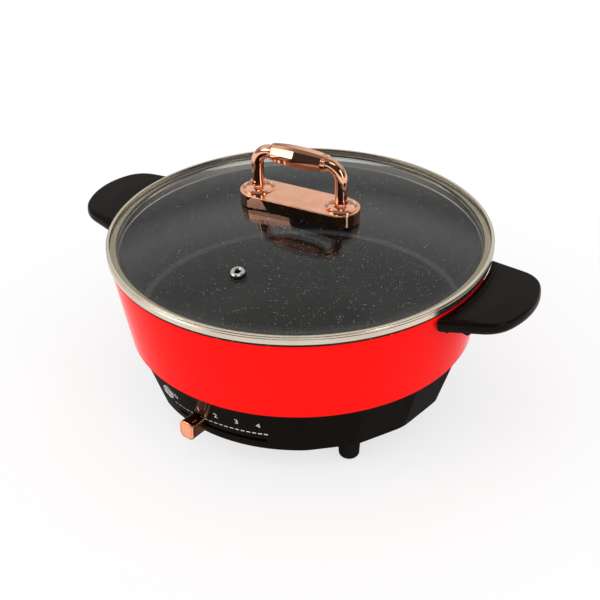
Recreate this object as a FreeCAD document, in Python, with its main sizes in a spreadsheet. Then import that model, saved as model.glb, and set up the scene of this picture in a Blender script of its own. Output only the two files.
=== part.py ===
"""Electric hot pot with a loose glass lid.

Millimetres. The origin is on the table under the middle of the pot, +Z is up, the control zone
faces -Y and the side handles lie along X. Angles round the pot are counted from -Y towards +X.
"""
import FreeCAD, Part
import math
import os
import re
import Sketcher
from FreeCAD import Vector

SIZES = [
    # name, value, what it is
    ("standHeight", 23.4, "table to the lower edge of the base"),
    ("baseHeight", 45.9, "base, lower edge to its shelf"),
    ("baseStep", 2.1, "base corners inside the underside of the pan"),
    ("baseTaper", 15, "how much the base narrows towards its lower edge"),
    ("baseWall", 2.6, "moulded wall at the middle of a facet"),
    ("baseEdge", 2.2, "rounding of the lower edge"),
    ("facetSides", 18, "sides of the full polygon that the facets belong to"),
    ("controlAngle", 30, "half angle of the smooth control zone"),
    ("shelfThick", 3, "shelf that carries the pan"),
    ("shelfWidth", 45.5, "width of the shelf"),
    ("slotAngle", 18.3, "half angle of the lever slot"),
    ("slotHeight", 4.2, "height of the lever slot"),
    ("slotRise", 11.6, "slot centre above the lower edge of the base"),
    ("screwRadius", 1.9, "small screws in base, pan and side handles"),
    ("screwHeadLap", 1.7, "head of a small screw beyond its shank"),
    ("screwHeadHeight", 2.2, "height of that head"),
    ("screwRoom", 1, "free depth beyond the tip of a screw"),
    ("bossWall", 3.1, "wall of a screw boss in the base"),
    ("fixInset", 4.5, "pan screws outside the hole in the shelf"),
    ("fixDepth", 2.6, "depth of their blind holes in the pan floor"),
    ("seatGap", 0.2, "joint line between pan and base"),
    ("panHeight", 78.6, "pan, underside to rim"),
    ("panRimRadius", 161.4, "rolled rim band of the pan"),
    ("panTaper", 12.8, "how much the pan narrows towards its underside"),
    ("rimStep", 0.4, "how far the rim band stands proud"),
    ("rimBand", 4.5, "height of the rim band"),
    ("panWall", 3, "pan wall"),
    ("panFloor", 4, "pan floor"),
    ("panEdge", 3, "outside rounding under the pan"),
    ("panCorner", 6, "inside rounding between floor and wall"),
    ("lidGap", 0.3, "running gap between lid ring and pan rim"),
    ("lidAngle", 2, "how the loose lid happens to be turned on the pan"),
    ("ringOverhang", 1.6, "lid ring beyond the rim band"),
    ("ringHeight", 6.6, "outer band of the ring"),
    ("ringSteel", 0.8, "sheet of the ring"),
    ("ringLip", 2.6, "lip over the edge of the glass"),
    ("ringSeat", 1.6, "folded seat under the glass"),
    ("ringEdge", 0.75, "rounding of the ring's top edge"),
    ("grooveDrop", 2.1, "rolled groove round the band, below its top"),
    ("grooveDeep", 0.4, "depth of that groove"),
    ("skirtPlay", 2.2, "play of the centring skirt in the pan"),
    ("skirtTaper", 1.3, "how much the skirt narrows towards its hem"),
    ("skirtDepth", 9, "skirt below the ring"),
    ("skirtBead", 0.5, "bead and hem rolled into the skirt"),
    ("skirtBeadDrop", 2.6, "that bead below the ring"),
    ("fitGap", 0.1, "play between pieces of one assembly"),
    ("glassThick", 4, "tempered glass"),
    ("glassFlat", 12, "flat edge of the glass with its cover by the ring"),
    ("domeRise", 21.6, "top of the dome above the ring"),
    ("domeBlend", 15, "rounding between dome and flat edge"),
    ("ventInset", 50, "steam vent inside the foot of the dome"),
    ("ventHole", 4.5, "radius of the hole in the glass for the vent"),
    ("grommetLap", 2.3, "grommet over the glass beside its hole"),
    ("grommetFlange", 1, "flange of the grommet"),
    ("ventPlay", 0.8, "play of the grommet's neck, which stands aslant in the hole"),
    ("eyeletLap", 1.5, "eyelet over the grommet beside the hole"),
    ("eyeletSteel", 0.8, "sheet of the eyelet"),
    ("eyeletBore", 2.5, "radius of the steam hole"),
    ("postSpacing", 78, "distance between the two posts of the bail"),
    ("plateEnds", 15.5, "base plate beyond the posts"),
    ("plateRim", 4, "base plate beside the rosettes"),
    ("plateHeight", 9.9, "top of the plate above the top of the dome"),
    ("plateEdge", 0.8, "rounding of its top edge"),
    ("gasketThick", 1, "gasket under the plate"),
    ("gasketInset", 1, "how far the gasket stays inside the plate's outline"),
    ("barRadius", 5.2, "bent bar of the bail"),
    ("barRise", 36.5, "bar above the plate"),
    ("barBend", 13, "bend radius of the bar, at its centre line"),
    ("barHole", 14, "depth of the threaded hole in each post"),
    ("collarWall", 1.2, "collar of a rosette round the bar"),
    ("collarHeight", 7.4, "top of the collar above the plate"),
    ("collarNeck", 0.4, "neck below the collar"),
    ("collarBand", 1.2, "height of the collar's wide band"),
    ("rosetteFlare", 7.1, "rosette beyond its collar"),
    ("rosetteRim", 0.7, "height of the rosette's edge"),
    ("rosetteDome", 2.7, "rise of the rosette from its edge to its neck"),
    ("gripMargin", 6.7, "straight bar that the grip leaves free"),
    ("gripShift", -0.1, "middle of the grip along the bar"),
    ("gripSides", 6, "wide flats round the grip, with a narrow one between them"),
    ("gripHalf", 19, "half angle of a wide flat"),
    ("gripWall", 2.1, "corners of the grip outside the bar, at its ends"),
    ("gripBelly", 1.8, "how much wider the grip is in its middle"),
    ("beadWall", 1.9, "ring bead outside the bar"),
    ("beadWidth", 2, "width of a ring bead"),
    ("lidScrew", 2.5, "radius of the screws that hold the bail"),
    ("lidScrewLap", 2, "their heads beyond the shank"),
    ("lidScrewHeadHeight", 2.8, "height of their heads"),
    ("washerLap", 2.5, "washer beyond the screw head"),
    ("washerThick", 1.2, "thickness of that washer"),
    ("glassPlay", 1.1, "play of the screws in the glass"),
    ("handleGap", 0.6, "side handle beyond the rim band"),
    ("handleReach", 48.5, "side handle, inner edge to tip"),
    ("handleRoot", 54, "half width of a side handle at the pot"),
    ("handleTaper", 12, "how much it narrows to its tip, on each side"),
    ("handleBow", 13.2, "bow of its outer end"),
    ("handleThick", 12.9, "thickness of a side handle"),
    ("handleDrop", 3.3, "top of a side handle below the pan rim"),
    ("handleCorner", 28, "rounding of its outer corners"),
    ("handleOver", 5, "rounding of its upper edge"),
    ("handleUnder", 6, "rounding of its lower edge"),
    ("handleTilt", 5, "how much a side handle rises outwards"),
    ("creaseReach", 82.5, "centre of the crease, inside the tip"),
    ("creaseRadius", 60, "radius of the crease across its top"),
    ("creaseAngle", 5.5, "slope of the top outside the crease"),
    ("ridgeInset", 4.7, "raised ridge, from the inner edge"),
    ("ridgeHalf", 1.5, "half width of that ridge"),
    ("ridgeProud", 1.2, "height of that ridge"),
    ("ridgeAngle", 13.5, "half angle of that ridge"),
    ("lugSpread", 34, "screw lugs under a side handle, from its middle"),
    ("lugInset", 8, "screw lugs, from the inner edge"),
    ("lugWall", 4.6, "wall of a screw lug"),
    ("lugDrop", 1.5, "lug below the handle"),
    ("bracketSteel", 1.8, "handle bracket on the pan wall"),
    ("bracketAngle", 13.5, "half angle of the bracket"),
    ("bracketLeg", 8.5, "upright leg of the bracket"),
    ("bracketLap", 9, "bracket beyond the screw lugs"),
    ("restAngle", -7.5, "lever at rest"),
    ("leverWidth", 6, "lever arm"),
    ("leverThick", 2, "thickness of the lever arm"),
    ("hubWall", 6, "hub of the lever arm round the spindle"),
    ("spindleRadius", 3, "thermostat spindle"),
    ("spindleHead", 2, "head of the spindle beyond its shank"),
    ("runningFit", 0.05, "radial play of the spindle"),
    ("spacerHeight", 3.2, "lever arm to the thermostat"),
    ("knobReach", 21.6, "front of the knob beyond the foot of the base"),
    ("knobNose", 4.1, "solid front of the knob before the lever arm"),
    ("knobWidth", 14.5, "knob"),
    ("knobHeight", 16.2, "height of the knob"),
    ("knobRise", 2.5, "middle of the knob above the slot"),
    ("knobEdge", 4.8, "rounded corners of the knob"),
    ("knobBorder", 1.3, "line round the front of the knob, inside its edge"),
    ("knobLine", 0.45, "width and depth of that line"),
    ("knobGap", 0.8, "gap between knob and base"),
    ("coverRecess", 1, "bottom cover above the lower edge"),
    ("coverThick", 2.5, "bottom cover"),
    ("coverLip", 5.5, "raised lip round the bottom cover"),
    ("coverLipWall", 2, "wall of that lip"),
    ("ventSlots", 20, "air slots in the bottom cover"),
    ("ventLength", 38, "length of an air slot"),
    ("ventWidth", 5, "width of an air slot"),
    ("ventMargin", 31, "air slots inside the circle of the feet"),
    ("footInset", 16.5, "feet inside the foot of the base"),
    ("footAngle", 50, "feet from the middle of the control zone"),
    ("footTop", 10, "radius of a foot at the cover"),
    ("footTaper", 1.6, "how much it narrows downwards"),
    ("footFlat", 0.3, "flat left between its rounded end and its recess"),
    ("recessPlay", 0.6, "recess round the screw head in a foot"),
    ("padProud", 0.8, "rubber pad below the foot"),
    ("padHeight", 6, "rubber pad inside the foot"),
    ("footBite", 14, "foot screw in its boss"),
    ("heaterPlay", 5, "heater plate inside the hole in the shelf"),
    ("heaterThick", 6, "aluminium heater plate"),
    ("elementInset", 22, "tubular element, from the edge of the plate"),
    ("elementTube", 4, "radius of the element tube"),
    ("elementAngle", 320, "arc of the element"),
    ("elementPin", 1.5, "terminal pin of the element"),
    ("pinLength", 8, "length of that pin"),
    ("coldReach", 0.5, "cold ends of the element in the shield"),
    ("coldPlay", 2.5, "holes in the shield round the cold ends"),
    ("sensorRadius", 11, "sensor cap of the thermostat"),
    ("sensorHeight", 4, "height of the cap"),
    ("sensorPlay", 2, "hole for the sensor in plate and shield"),
    ("shieldSteel", 0.8, "heat shield"),
    ("shieldGap", 9.5, "element to heat shield"),
    ("shieldSlant", 6, "flat of the shield inside the heater plate"),
    ("flangeLap", 4, "flange of the shield beyond its screws"),
    ("thermoLength", 36, "ceramic thermostat block"),
    ("thermoWidth", 26, "its width"),
    ("thermoCap", 2, "ceramic above the spindle bore"),
    ("tabLength", 7, "terminal tab of the thermostat"),
    ("tabWidth", 6, "its width"),
    ("tabSpacing", 12, "distance between two tabs"),
    ("tabSheet", 0.8, "its sheet"),
    ("supportLap", 16, "thermostat bracket beyond the hole in the shield"),
    ("supportWidth", 18, "its width"),
    ("supportSheet", 1, "its sheet"),
    ("fuseRadius", 2.6, "thermal fuse"),
    ("fuseLength", 14, "its length"),
    ("fuseGap", 10, "fuse beside the thermostat"),
    ("fuseLead", 8, "its leads, on each side"),
    ("blockLength", 34, "terminal block"),
    ("blockWidth", 14, "its width"),
    ("blockHeight", 10, "its height"),
    ("blockHole", 2, "its clamp holes"),
    ("blockInset", 12, "terminal block inside the element circle"),
    ("inletWidth", 34, "power inlet in the back of the base"),
    ("inletHeight", 24, "its height"),
    ("inletRise", 21.3, "its middle above the lower edge of the base"),
    ("inletProud", 10.5, "its face beyond the foot of the base"),
    ("inletDepth", 26, "its depth"),
    ("inletWall", 2.4, "wall of its shroud"),
    ("inletFloor", 5, "floor that holds the pins"),
    ("inletCorner", 2, "rounded corners of the shroud"),
    ("pinRadius", 2, "contact pin of the inlet"),
    ("pinPitch", 9, "distance between contact pins"),
    ("pinInset", 6, "pins behind the face of the inlet"),
    ("pinTail", 4, "pins behind the inlet"),
    ("badgeAngle", -20.4, "plain round badge left of the scale"),
    ("badgeRise", 30.6, "badge above the lower edge of the base"),
    ("badgeRadius", 6.8, "badge"),
    ("badgeThick", 1.4, "its thickness"),
    ("badgeRecess", 0.7, "recess in the base that holds it"),
]

DERIVED = [
    # Radii that follow from the pan.
    ("panBottomRadius", "panRimRadius - panTaper", "pan wall at its underside"),
    ("baseTopRadius", "panBottomRadius - baseStep", "base corners at the shelf"),
    ("baseBottomRadius", "baseTopRadius - baseTaper", "base corners at the lower edge"),
    ("shelfInner", "baseTopRadius - shelfWidth", "hole in the shelf"),
    ("fixCircle", "shelfInner + fixInset", "pan screws"),
    ("footCircle", "baseBottomRadius - footInset", "feet"),
    ("footX", "footCircle * sin(footAngle)", "feet, sideways"),
    ("footY", "footCircle * cos(footAngle)", "feet, to front and back"),
    ("ventOuter", "footCircle - ventMargin", "outer end of an air slot"),
    ("ventInner", "ventOuter - ventLength", "inner end of an air slot"),
    ("heaterRadius", "shelfInner - heaterPlay", "heater plate"),
    ("elementCircle", "heaterRadius - elementInset", "tubular element"),
    ("coldAngle", "(360 - elementAngle) / 2", "cold ends, from the back"),
    ("coldX", "elementCircle * sin(coldAngle)", "cold ends, sideways"),
    ("coldY", "elementCircle * cos(coldAngle)", "cold ends, to the back"),
    ("coldHole", "elementTube + coldPlay", "holes for the cold ends"),
    ("sensorHole", "sensorRadius + sensorPlay", "hole for the sensor"),
    ("shieldFlat", "heaterRadius - shieldSlant", "flat of the shield"),
    ("shieldFlange", "fixCircle + flangeLap", "flange of the shield"),
    ("blockOffset", "elementCircle - blockInset", "terminal block"),
    ("inletFace", "baseBottomRadius + inletProud", "face of the inlet"),
    ("knobFront", "baseBottomRadius + knobReach", "front of the knob"),
    ("leverReach", "knobFront - knobNose", "end of the lever arm"),
    ("hubRadius", "spindleRadius + hubWall", "hub of the lever arm"),
    ("facetPitch", "360 / facetSides", "angle of one facet"),
    ("facetShare", "cos(facetPitch / 2)", "flat of a facet to its corner"),
    ("ringRadius", "panRimRadius + ringOverhang", "steel ring round the lid"),
    ("skirtRadius", "panRimRadius - rimStep - panWall - skirtPlay", "centring skirt"),
    ("domeFoot", "ringRadius - glassFlat", "where the dome leaves the flat edge"),
    ("ventOffset", "domeFoot - ventInset", "steam vent from the middle of the lid"),
    ("handleInner", "panRimRadius + handleGap", "inner edge of a side handle"),
    ("handleTip", "handleInner + handleReach", "tip of a side handle"),
    ("handleShoulder", "handleRoot - handleTaper", "half width of its outer end"),
    ("creaseCentre", "handleTip - creaseReach", "centre of the crease"),
    ("ridgeLine", "handleInner + ridgeInset", "raised ridge"),
    ("lugOffset", "handleInner + lugInset", "screw lugs"),
    ("bracketReach", "lugOffset + bracketLap", "outer edge of the bracket"),
    # Other sizes.
    ("screwHead", "screwRadius + screwHeadLap", "head of a small screw"),
    ("bossRadius", "screwRadius + bossWall", "screw boss"),
    ("lugRadius", "screwRadius + lugWall", "screw lug"),
    ("footTip", "footTop - footTaper", "radius of a foot near the table"),
    ("footRecess", "screwHead + recessPlay", "recess in a foot"),
    ("footEdge", "footTip - footRecess - footFlat", "rounded end of a foot"),
    ("grommetRadius", "ventHole + grommetLap", "vent grommet"),
    ("eyeletRadius", "ventHole + eyeletLap", "steel eyelet of the vent"),
    ("collarRadius", "barRadius + collarWall", "collar of a rosette"),
    ("rosetteRadius", "collarRadius + rosetteFlare", "rosette under each post"),
    ("plateLength", "postSpacing + 2 * plateEnds", "base plate of the lid handle"),
    ("plateWidth", "2 * (rosetteRadius + plateRim)", "its width"),
    ("gripLength", "postSpacing - 2 * barBend - gripMargin", "grip sleeve"),
    ("gripEnd", "barRadius + gripWall", "corners of the grip at its ends"),
    ("gripMiddle", "gripEnd + gripBelly", "corners of the grip in its middle"),
    ("beadRadius", "barRadius + beadWall", "ring bead"),
    ("lidScrewHead", "lidScrew + lidScrewLap", "head of a lid screw"),
    ("washerRadius", "lidScrewHead + washerLap", "washer under the glass"),
    ("glassHole", "lidScrew + glassPlay", "screw holes in the glass"),
    ("supportLength", "2 * (sensorHole + supportLap)", "thermostat bracket"),
    # Levels above the table.
    ("coverLow", "standHeight + coverRecess", "underside of the bottom cover"),
    ("coverTop", "coverLow + coverThick", "top of the bottom cover"),
    ("slotLevel", "standHeight + slotRise", "middle of the slot and lever"),
    ("baseTop", "standHeight + baseHeight", "top of the shelf"),
    ("shelfUnder", "baseTop - shelfThick", "underside of the shelf"),
    ("panLow", "baseTop + seatGap", "underside of the pan"),
    ("panRim", "panLow + panHeight", "rim of the pan"),
    ("handleTop", "panRim - handleDrop", "top of the side handles"),
    ("handleLow", "handleTop - handleThick", "underside of the side handles"),
    ("lugLow", "handleLow - lugDrop", "underside of their lugs"),
    ("heaterLow", "panLow - heaterThick", "underside of the heater plate"),
    ("shieldLow", "heaterLow - elementTube - shieldGap - shieldSteel", "heat shield"),
    ("thermoTop", "shieldLow - supportSheet", "top of the thermostat block"),
    ("thermoLow", "slotLevel + leverThick / 2 + spacerHeight", "its underside"),
    ("ringLow", "panRim + lidGap", "underside of the lid ring"),
    ("ringTop", "ringLow + ringHeight", "top of the lid ring"),
    ("glassEdge", "ringTop - ringSteel - fitGap", "flat edge of the glass"),
    ("domeTop", "ringTop + domeRise", "top of the dome"),
    ("plateTop", "domeTop + plateHeight", "top of the handle plate"),
    ("barAxis", "plateTop + barRise", "middle of the bail's bar"),
    # The dome is part of a sphere.
    ("domeHeight", "domeTop - glassEdge", "dome above the flat edge"),
    ("domeSphere", "(domeFoot^2 + domeHeight^2) / (2 * domeHeight)", "its radius"),
    ("domeCentre", "domeTop - domeSphere", "level of its centre"),
]

doc = FreeCAD.newDocument("HotPot")
sheet = doc.addObject("Spreadsheet::Sheet", "Dim")
for row, (alias, size, meaning) in enumerate(SIZES, start=1):
    sheet.set(f"A{row}", meaning)
    sheet.set(f"B{row}", str(size))
    sheet.setAlias(f"B{row}", alias)
for row, (alias, rule, meaning) in enumerate(DERIVED, start=len(SIZES) + 1):
    sheet.set(f"A{row}", meaning)
    sheet.set(f"B{row}", "=" + rule)
    sheet.setAlias(f"B{row}", alias)
doc.recompute()
ALIASES = {alias for alias, content, meaning in SIZES + DERIVED}
LEFT_AND_RIGHT = {"left": -1, "right": 1}


# ---------------------------------------------------------------- formulas
def formula(text):
    """Turns bare dimension names into references to the spreadsheet."""
    def refer(word):
        return f"Dim.{word[0]}" if word[0] in ALIASES else word[0]

    return re.sub(r"[A-Za-z_]\w*", refer, str(text))


def worth(text):
    """Value of a formula, for the first guess of a sketch."""
    return float(sheet.evalExpression(formula(text)))


def bind(thing, **formulas):
    """Ties properties of an object to formulas."""
    for prop, text in formulas.items():
        thing.setExpression(prop.replace("_", "."), formula(text))


def placed(x="0", y="0", z="0", turn="rotationz(0)"):
    """Formula of a placement: a position and a rotation."""
    return f"placement(vector({x}; {y}; {z}); {turn})"


LID = "rotationz(lidAngle)"
SMALL_HOLE = "screwRadius + fitGap"
FIX_POINTS = [(f"fixCircle * cos({angle})", f"fixCircle * sin({angle})") for angle in (0, 90, 180, 270)]
FOOT_POINTS = [(f"{a} * footX", f"{b} * footY") for a in (-1, 1) for b in (-1, 1)]
LUG_POINTS = [("lugOffset", "-lugSpread"), ("lugOffset", "lugSpread")]


def dome_level(radius):
    """Height of the glass's top surface at a distance from its middle."""
    return f"(domeCentre + sqrt(domeSphere^2 - ({radius})^2))"


def base_radius(level):
    """Radius of the base's corners at a level."""
    return ("(baseBottomRadius + (baseTopRadius - baseBottomRadius)"
            f" * ({level} - standHeight) / baseHeight)")


def base_inside(level):
    """Radius of the inside of the base's wall at a level."""
    return f"({base_radius(level)} * facetShare - baseWall)"


def pan_radius(level):
    """Radius of the pan's outside below its rim band."""
    return ("(panBottomRadius + (panRimRadius - rimStep - panBottomRadius)"
            f" * ({level} - panLow) / (panHeight - rimBand))")


# ---------------------------------------------------------------- sketches
def arc_centre(start, end, centre):
    """Centre of an arc through two points, from the one coordinate that is given."""
    half = (end.x ** 2 - start.x ** 2 + end.y ** 2 - start.y ** 2) / 2
    if centre[1] is None:
        across = worth(centre[0])
        return Vector(across, (half - across * (end.x - start.x)) / (end.y - start.y), 0)
    up = worth(centre[1])
    return Vector((half - up * (end.y - start.y)) / (end.x - start.x), up, 0)


def tie_point(sketch, geometry, position, x=None, y=None):
    """Ties a sketch point to the origin by formulas."""
    for kind, text, axis in (("DistanceX", x, -2), ("DistanceY", y, -1)):
        if text is None:
            continue
        if abs(worth(text)) < 1e-9:
            sketch.addConstraint(Sketcher.Constraint("PointOnObject", geometry, position, axis))
            continue
        rule = Sketcher.Constraint(kind, -1, 1, geometry, position, worth(text))
        index = sketch.addConstraint(rule)
        sketch.setExpression(f"Constraints[{index}]", formula(text))


def draw(sketch, corners, closed=True):
    """Draws an outline. A corner is (x, y), or (x, y, centre) where an arc starts."""
    points = [Vector(worth(corner[0]), worth(corner[1]), 0) for corner in corners]
    count = len(points)
    starts, ends = [], []
    for i in range(count if closed else count - 1):
        start, end = points[i], points[(i + 1) % count]
        if len(corners[i]) == 2:
            line = sketch.addGeometry(Part.LineSegment(start, end), False)
            starts.append((line, 1))
            ends.append((line, 2))
            continue
        middle = arc_centre(start, end, corners[i][2])
        from_start = start - middle
        from_end = end - middle
        forward = from_start.cross(from_end).z > 0
        angles = [math.atan2(arm.y, arm.x) for arm in (from_start, from_end)]
        if not forward:
            angles.reverse()
        circle = Part.Circle(middle, Vector(0, 0, 1), from_start.Length)
        arc = sketch.addGeometry(Part.ArcOfCircle(circle, angles[0], angles[1]), False)
        starts.append((arc, 1 if forward else 2))
        ends.append((arc, 2 if forward else 1))
        tie_point(sketch, arc, 3, *corners[i][2])
    for i in range(len(ends) if closed else len(ends) - 1):
        following = starts[(i + 1) % len(starts)]
        sketch.addConstraint(Sketcher.Constraint("Coincident", *ends[i], *following))
    for corner, (geometry, position) in zip(corners, starts):
        tie_point(sketch, geometry, position, corner[0], corner[1])
    if not closed:
        tie_point(sketch, *ends[-1], corners[-1][0], corners[-1][1])


def draw_circle(sketch, x, y, radius):
    circle = Part.Circle(Vector(worth(x), worth(y), 0), Vector(0, 0, 1), worth(radius))
    geometry = sketch.addGeometry(circle, False)
    tie_point(sketch, geometry, 3, x, y)
    index = sketch.addConstraint(Sketcher.Constraint("Radius", geometry, worth(radius)))
    sketch.setExpression(f"Constraints[{index}]", formula(radius))


# ---------------------------------------------------------------- bodies
def new_body(label, placement=None):
    body = doc.addObject("PartDesign::Body", label)
    body.Label = label
    if placement:
        bind(body, Placement=placement)
    return body


def origin_plane(body, role):
    return next(item for item in body.Origin.OriginFeatures if item.Role == role)


def new_sketch(body, name, role, offset="0", turn="0", shift="0"):
    """Sketch on an origin plane; turn rotates an XZ sketch about the pot's axis."""
    sketch = body.newObject("Sketcher::SketchObject", name)
    sketch.AttachmentSupport = [(origin_plane(body, role), "")]
    sketch.MapMode = "FlatFace"
    bind(sketch, AttachmentOffset=placed(shift, "0", offset, f"rotationy({turn})"))
    return sketch


def revolve(body, name, corners, angle="360", turn="0", shift="0", cut=False):
    """Turned shape about Z, from an outline of radius and height."""
    sketch = new_sketch(body, name + "Outline", "XZ_Plane", turn=turn, shift=shift)
    draw(sketch, corners)
    feature = body.newObject("PartDesign::Groove" if cut else "PartDesign::Revolution", name)
    feature.Profile = sketch
    feature.ReferenceAxis = (sketch, ["V_Axis"])
    feature.Midplane = True
    bind(feature, Angle=angle)
    return feature


def extrude(body, name, role, length, outlines=(), circles=(), offset="0", both=False, cut=False,
            reverse=False):
    """Pad or pocket from outlines and circles drawn on an origin plane."""
    sketch = new_sketch(body, name + "Outline", role, offset=offset)
    for corners in outlines:
        draw(sketch, corners)
    for x, y, radius in circles:
        draw_circle(sketch, x, y, radius)
    feature = body.newObject("PartDesign::Pocket" if cut else "PartDesign::Pad", name)
    feature.Profile = sketch
    feature.SideType = "Symmetric" if both else "One side"
    feature.Reversed = reverse
    bind(feature, Length=length)
    return feature


def carve(body, kind, name, placement, **sizes):
    """Cuts a primitive out of a body; its placement is counted from the body's origin."""
    feature = body.newObject(f"PartDesign::Subtractive{kind}", name)
    feature.AttachmentSupport = [(origin_plane(body, "XY_Plane"), "")]
    feature.MapMode = "FlatFace"
    bind(feature, AttachmentOffset=placement, **sizes)


def turned(label, corners, placement=None):
    body = new_body(label, placement)
    revolve(body, label + "Turn", corners)
    return body


def choose(shape, test):
    return [f"Edge{number}" for number, edge in enumerate(shape.Edges, start=1) if test(edge)]


def is_round(edge):
    return not edge.Degenerated and isinstance(edge.Curve, Part.Circle)


def is_ring(edge, radius, level):
    """True for an edge on a horizontal circle of that radius and level."""
    if not is_round(edge):
        return False
    centre = edge.Curve.Center
    return abs(edge.Curve.Radius - worth(radius)) < 0.01 and abs(centre.z - worth(level)) < 0.01


def is_level(edge, level):
    return all(abs(vertex.Z - worth(level)) < 0.01 for vertex in edge.Vertexes)


def is_upright(edge):
    first, last = edge.Vertexes[0].Point, edge.Vertexes[-1].Point
    return abs(first.z - last.z) > 1 and Vector(first.x - last.x, first.y - last.y, 0).Length < 0.01


def round_edges(body, name, radius, test):
    doc.recompute()
    base = body.Tip
    names = choose(base.Shape, test)
    if not names:
        raise ValueError(f"{name} found no edge")
    feature = body.newObject("PartDesign::Fillet", name)
    feature.Base = (base, names)
    bind(feature, Radius=radius)
    return feature


def round_rings(body, name, radius, rings):
    """Rounds horizontal circles, each given by radius and level."""
    return round_edges(body, name, radius, lambda edge: any(is_ring(edge, *ring) for ring in rings))


# ---------------------------------------------------------------- plain solids
def solid(kind, name, placement, **sizes):
    thing = doc.addObject(f"Part::{kind}", name)
    bind(thing, Placement=placement, **sizes)
    return thing


def joined(label, parts, placement=None):
    thing = doc.addObject("Part::MultiFuse", label)
    thing.Shapes = parts
    thing.Label = label
    if placement:
        bind(thing, Placement=placement)
    return thing


def gathered(label, parts, placement=None):
    """Identical pieces that share one node."""
    thing = doc.addObject("Part::Compound", label)
    thing.Links = parts
    thing.Label = label
    if placement:
        bind(thing, Placement=placement)
    return thing


def screw(name, x, y, seat, head, head_height, shank, length, upward=True):
    """Pan-head screw; seat is the level under its head and it points up or down."""
    low = f"({seat} - ({head_height}))" if upward else f"({seat})"
    body = solid("Cylinder", name + "Head", placed(x, y, low), Radius=head, Height=head_height)
    start = f"({seat})" if upward else f"({seat} - ({length}))"
    stem = solid("Cylinder", name + "Shank", placed(x, y, start), Radius=shank, Height=length)
    return joined(name, [body, stem])


def small_screw(name, x, y, seat, length):
    return screw(name, x, y, seat, "screwHead", "screwHeadHeight", "screwRadius", length)


def holes_at(points, radius=SMALL_HOLE):
    return [(x, y, radius) for x, y in points]


def box_outline(left, right, low, high):
    return [(left, low), (right, low), (right, high), (left, high)]


def rounded_box(left, right, low, high, corner):
    """Rectangle with round corners."""
    first, last = f"({left} + {corner})", f"({right} - {corner})"
    down, up = f"({low} + {corner})", f"({high} - {corner})"
    return [(first, low), (last, low, (last, None)), (right, down), (right, up, (last, None)),
            (last, high), (first, high, (first, None)), (left, up), (left, down, (first, None))]


def capsule(length, width, inset="0"):
    """Obround outline along X, centred on the origin."""
    flat = f"(({length} - {width}) / 2)"
    half = f"({width} / 2 - ({inset}))"
    end = f"({length} / 2 - ({inset}))"
    return [(f"-{flat}", f"-{half}"), (flat, f"-{half}", (flat, None)),
            (end, "0", (flat, None)), (flat, half), (f"-{flat}", half, (f"-{flat}", None)),
            (f"-{end}", "0", (f"-{flat}", None))]


# ================================================================ the pan
def make_pan():
    """Cast pan: tapered wall, rolled rim band, flat floor with rounded corner."""
    body = new_body("pan")
    wall_top = "(panRimRadius - rimStep)"
    band = "(panRim - rimBand)"
    floor = "(panLow + panFloor)"
    revolve(body, "PanTurn", [
        ("0", "panLow"), ("panBottomRadius", "panLow"), (wall_top, band),
        ("panRimRadius", f"{band} + rimStep"), ("panRimRadius", "panRim"),
        (f"{wall_top} - panWall", "panRim"), ("panBottomRadius - panWall", floor), ("0", floor)])
    round_rings(body, "PanEdge", "panEdge", [("panBottomRadius", "panLow")])
    round_rings(body, "PanCorner", "panCorner", [("panBottomRadius - panWall", floor)])
    extrude(body, "PanScrewHoles", "XY_Plane", "fixDepth", circles=holes_at(FIX_POINTS), offset="panLow",
            cut=True, reverse=True)


# ================================================================ the lid
def make_ring():
    """Rolled steel ring: lip over the glass, grooved band, folded seat and hemmed skirt."""
    body = new_body("lid_ring", placed(turn=LID))
    seat, hem = "(ringLow + ringSeat)", "(ringLow - skirtDepth)"
    under_lip, lip = "(ringTop - ringSteel)", "(ringRadius - ringLip)"
    groove, bead = "(ringTop - grooveDrop)", "(ringLow - skirtBeadDrop)"
    inner = "(skirtRadius - ringSteel)"
    mid_inner = f"({inner} - skirtTaper * skirtBeadDrop / skirtDepth)"
    low_inner = f"({inner} - skirtTaper)"
    revolve(body, "RingTurn", [
        ("ringRadius", "ringLow"), ("ringRadius", f"{groove} - grooveDeep"),
        ("ringRadius - grooveDeep", groove), ("ringRadius", f"{groove} + grooveDeep"),
        ("ringRadius", "ringTop"), (lip, "ringTop"), (lip, under_lip),
        ("ringRadius - ringSteel", under_lip), ("ringRadius - ringSteel", seat), (inner, seat),
        (mid_inner, f"{bead} + skirtBead"), (f"{mid_inner} - skirtBead", bead),
        (mid_inner, f"{bead} - skirtBead"), (low_inner, f"{hem} + 3 * skirtBead"),
        (f"{low_inner} - skirtBead", f"{hem} + 2 * skirtBead"), (f"{low_inner} - skirtBead", hem),
        ("skirtRadius - skirtTaper", hem), ("skirtRadius", "ringLow")])
    round_rings(body, "RingEdge", "ringEdge", [("ringRadius", "ringTop")])


def make_glass():
    """Tempered glass: shallow spherical dome on a flat edge, drilled for screws and vent."""
    body = new_body("lid_glass", placed(turn=LID))
    edge = "(ringRadius - ringSteel - 4 * fitGap)"
    under = "(glassEdge - glassThick)"
    revolve(body, "GlassTurn", [
        ("0", "domeTop - glassThick"), ("0", "domeTop", ("0", None)), ("domeFoot", "glassEdge"),
        (edge, "glassEdge"), (edge, under), ("domeFoot", under, ("0", None))])
    round_rings(body, "DomeBlend", "domeBlend", [("domeFoot", "glassEdge"), ("domeFoot", under)])
    holes = [("postSpacing / 2", "0", "glassHole"), ("-postSpacing / 2", "0", "glassHole"),
             ("0", "-ventOffset", "ventHole")]
    extrude(body, "GlassHoles", "XY_Plane", "4 * domeRise", circles=holes, offset="domeTop",
            both=True, cut=True)


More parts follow.
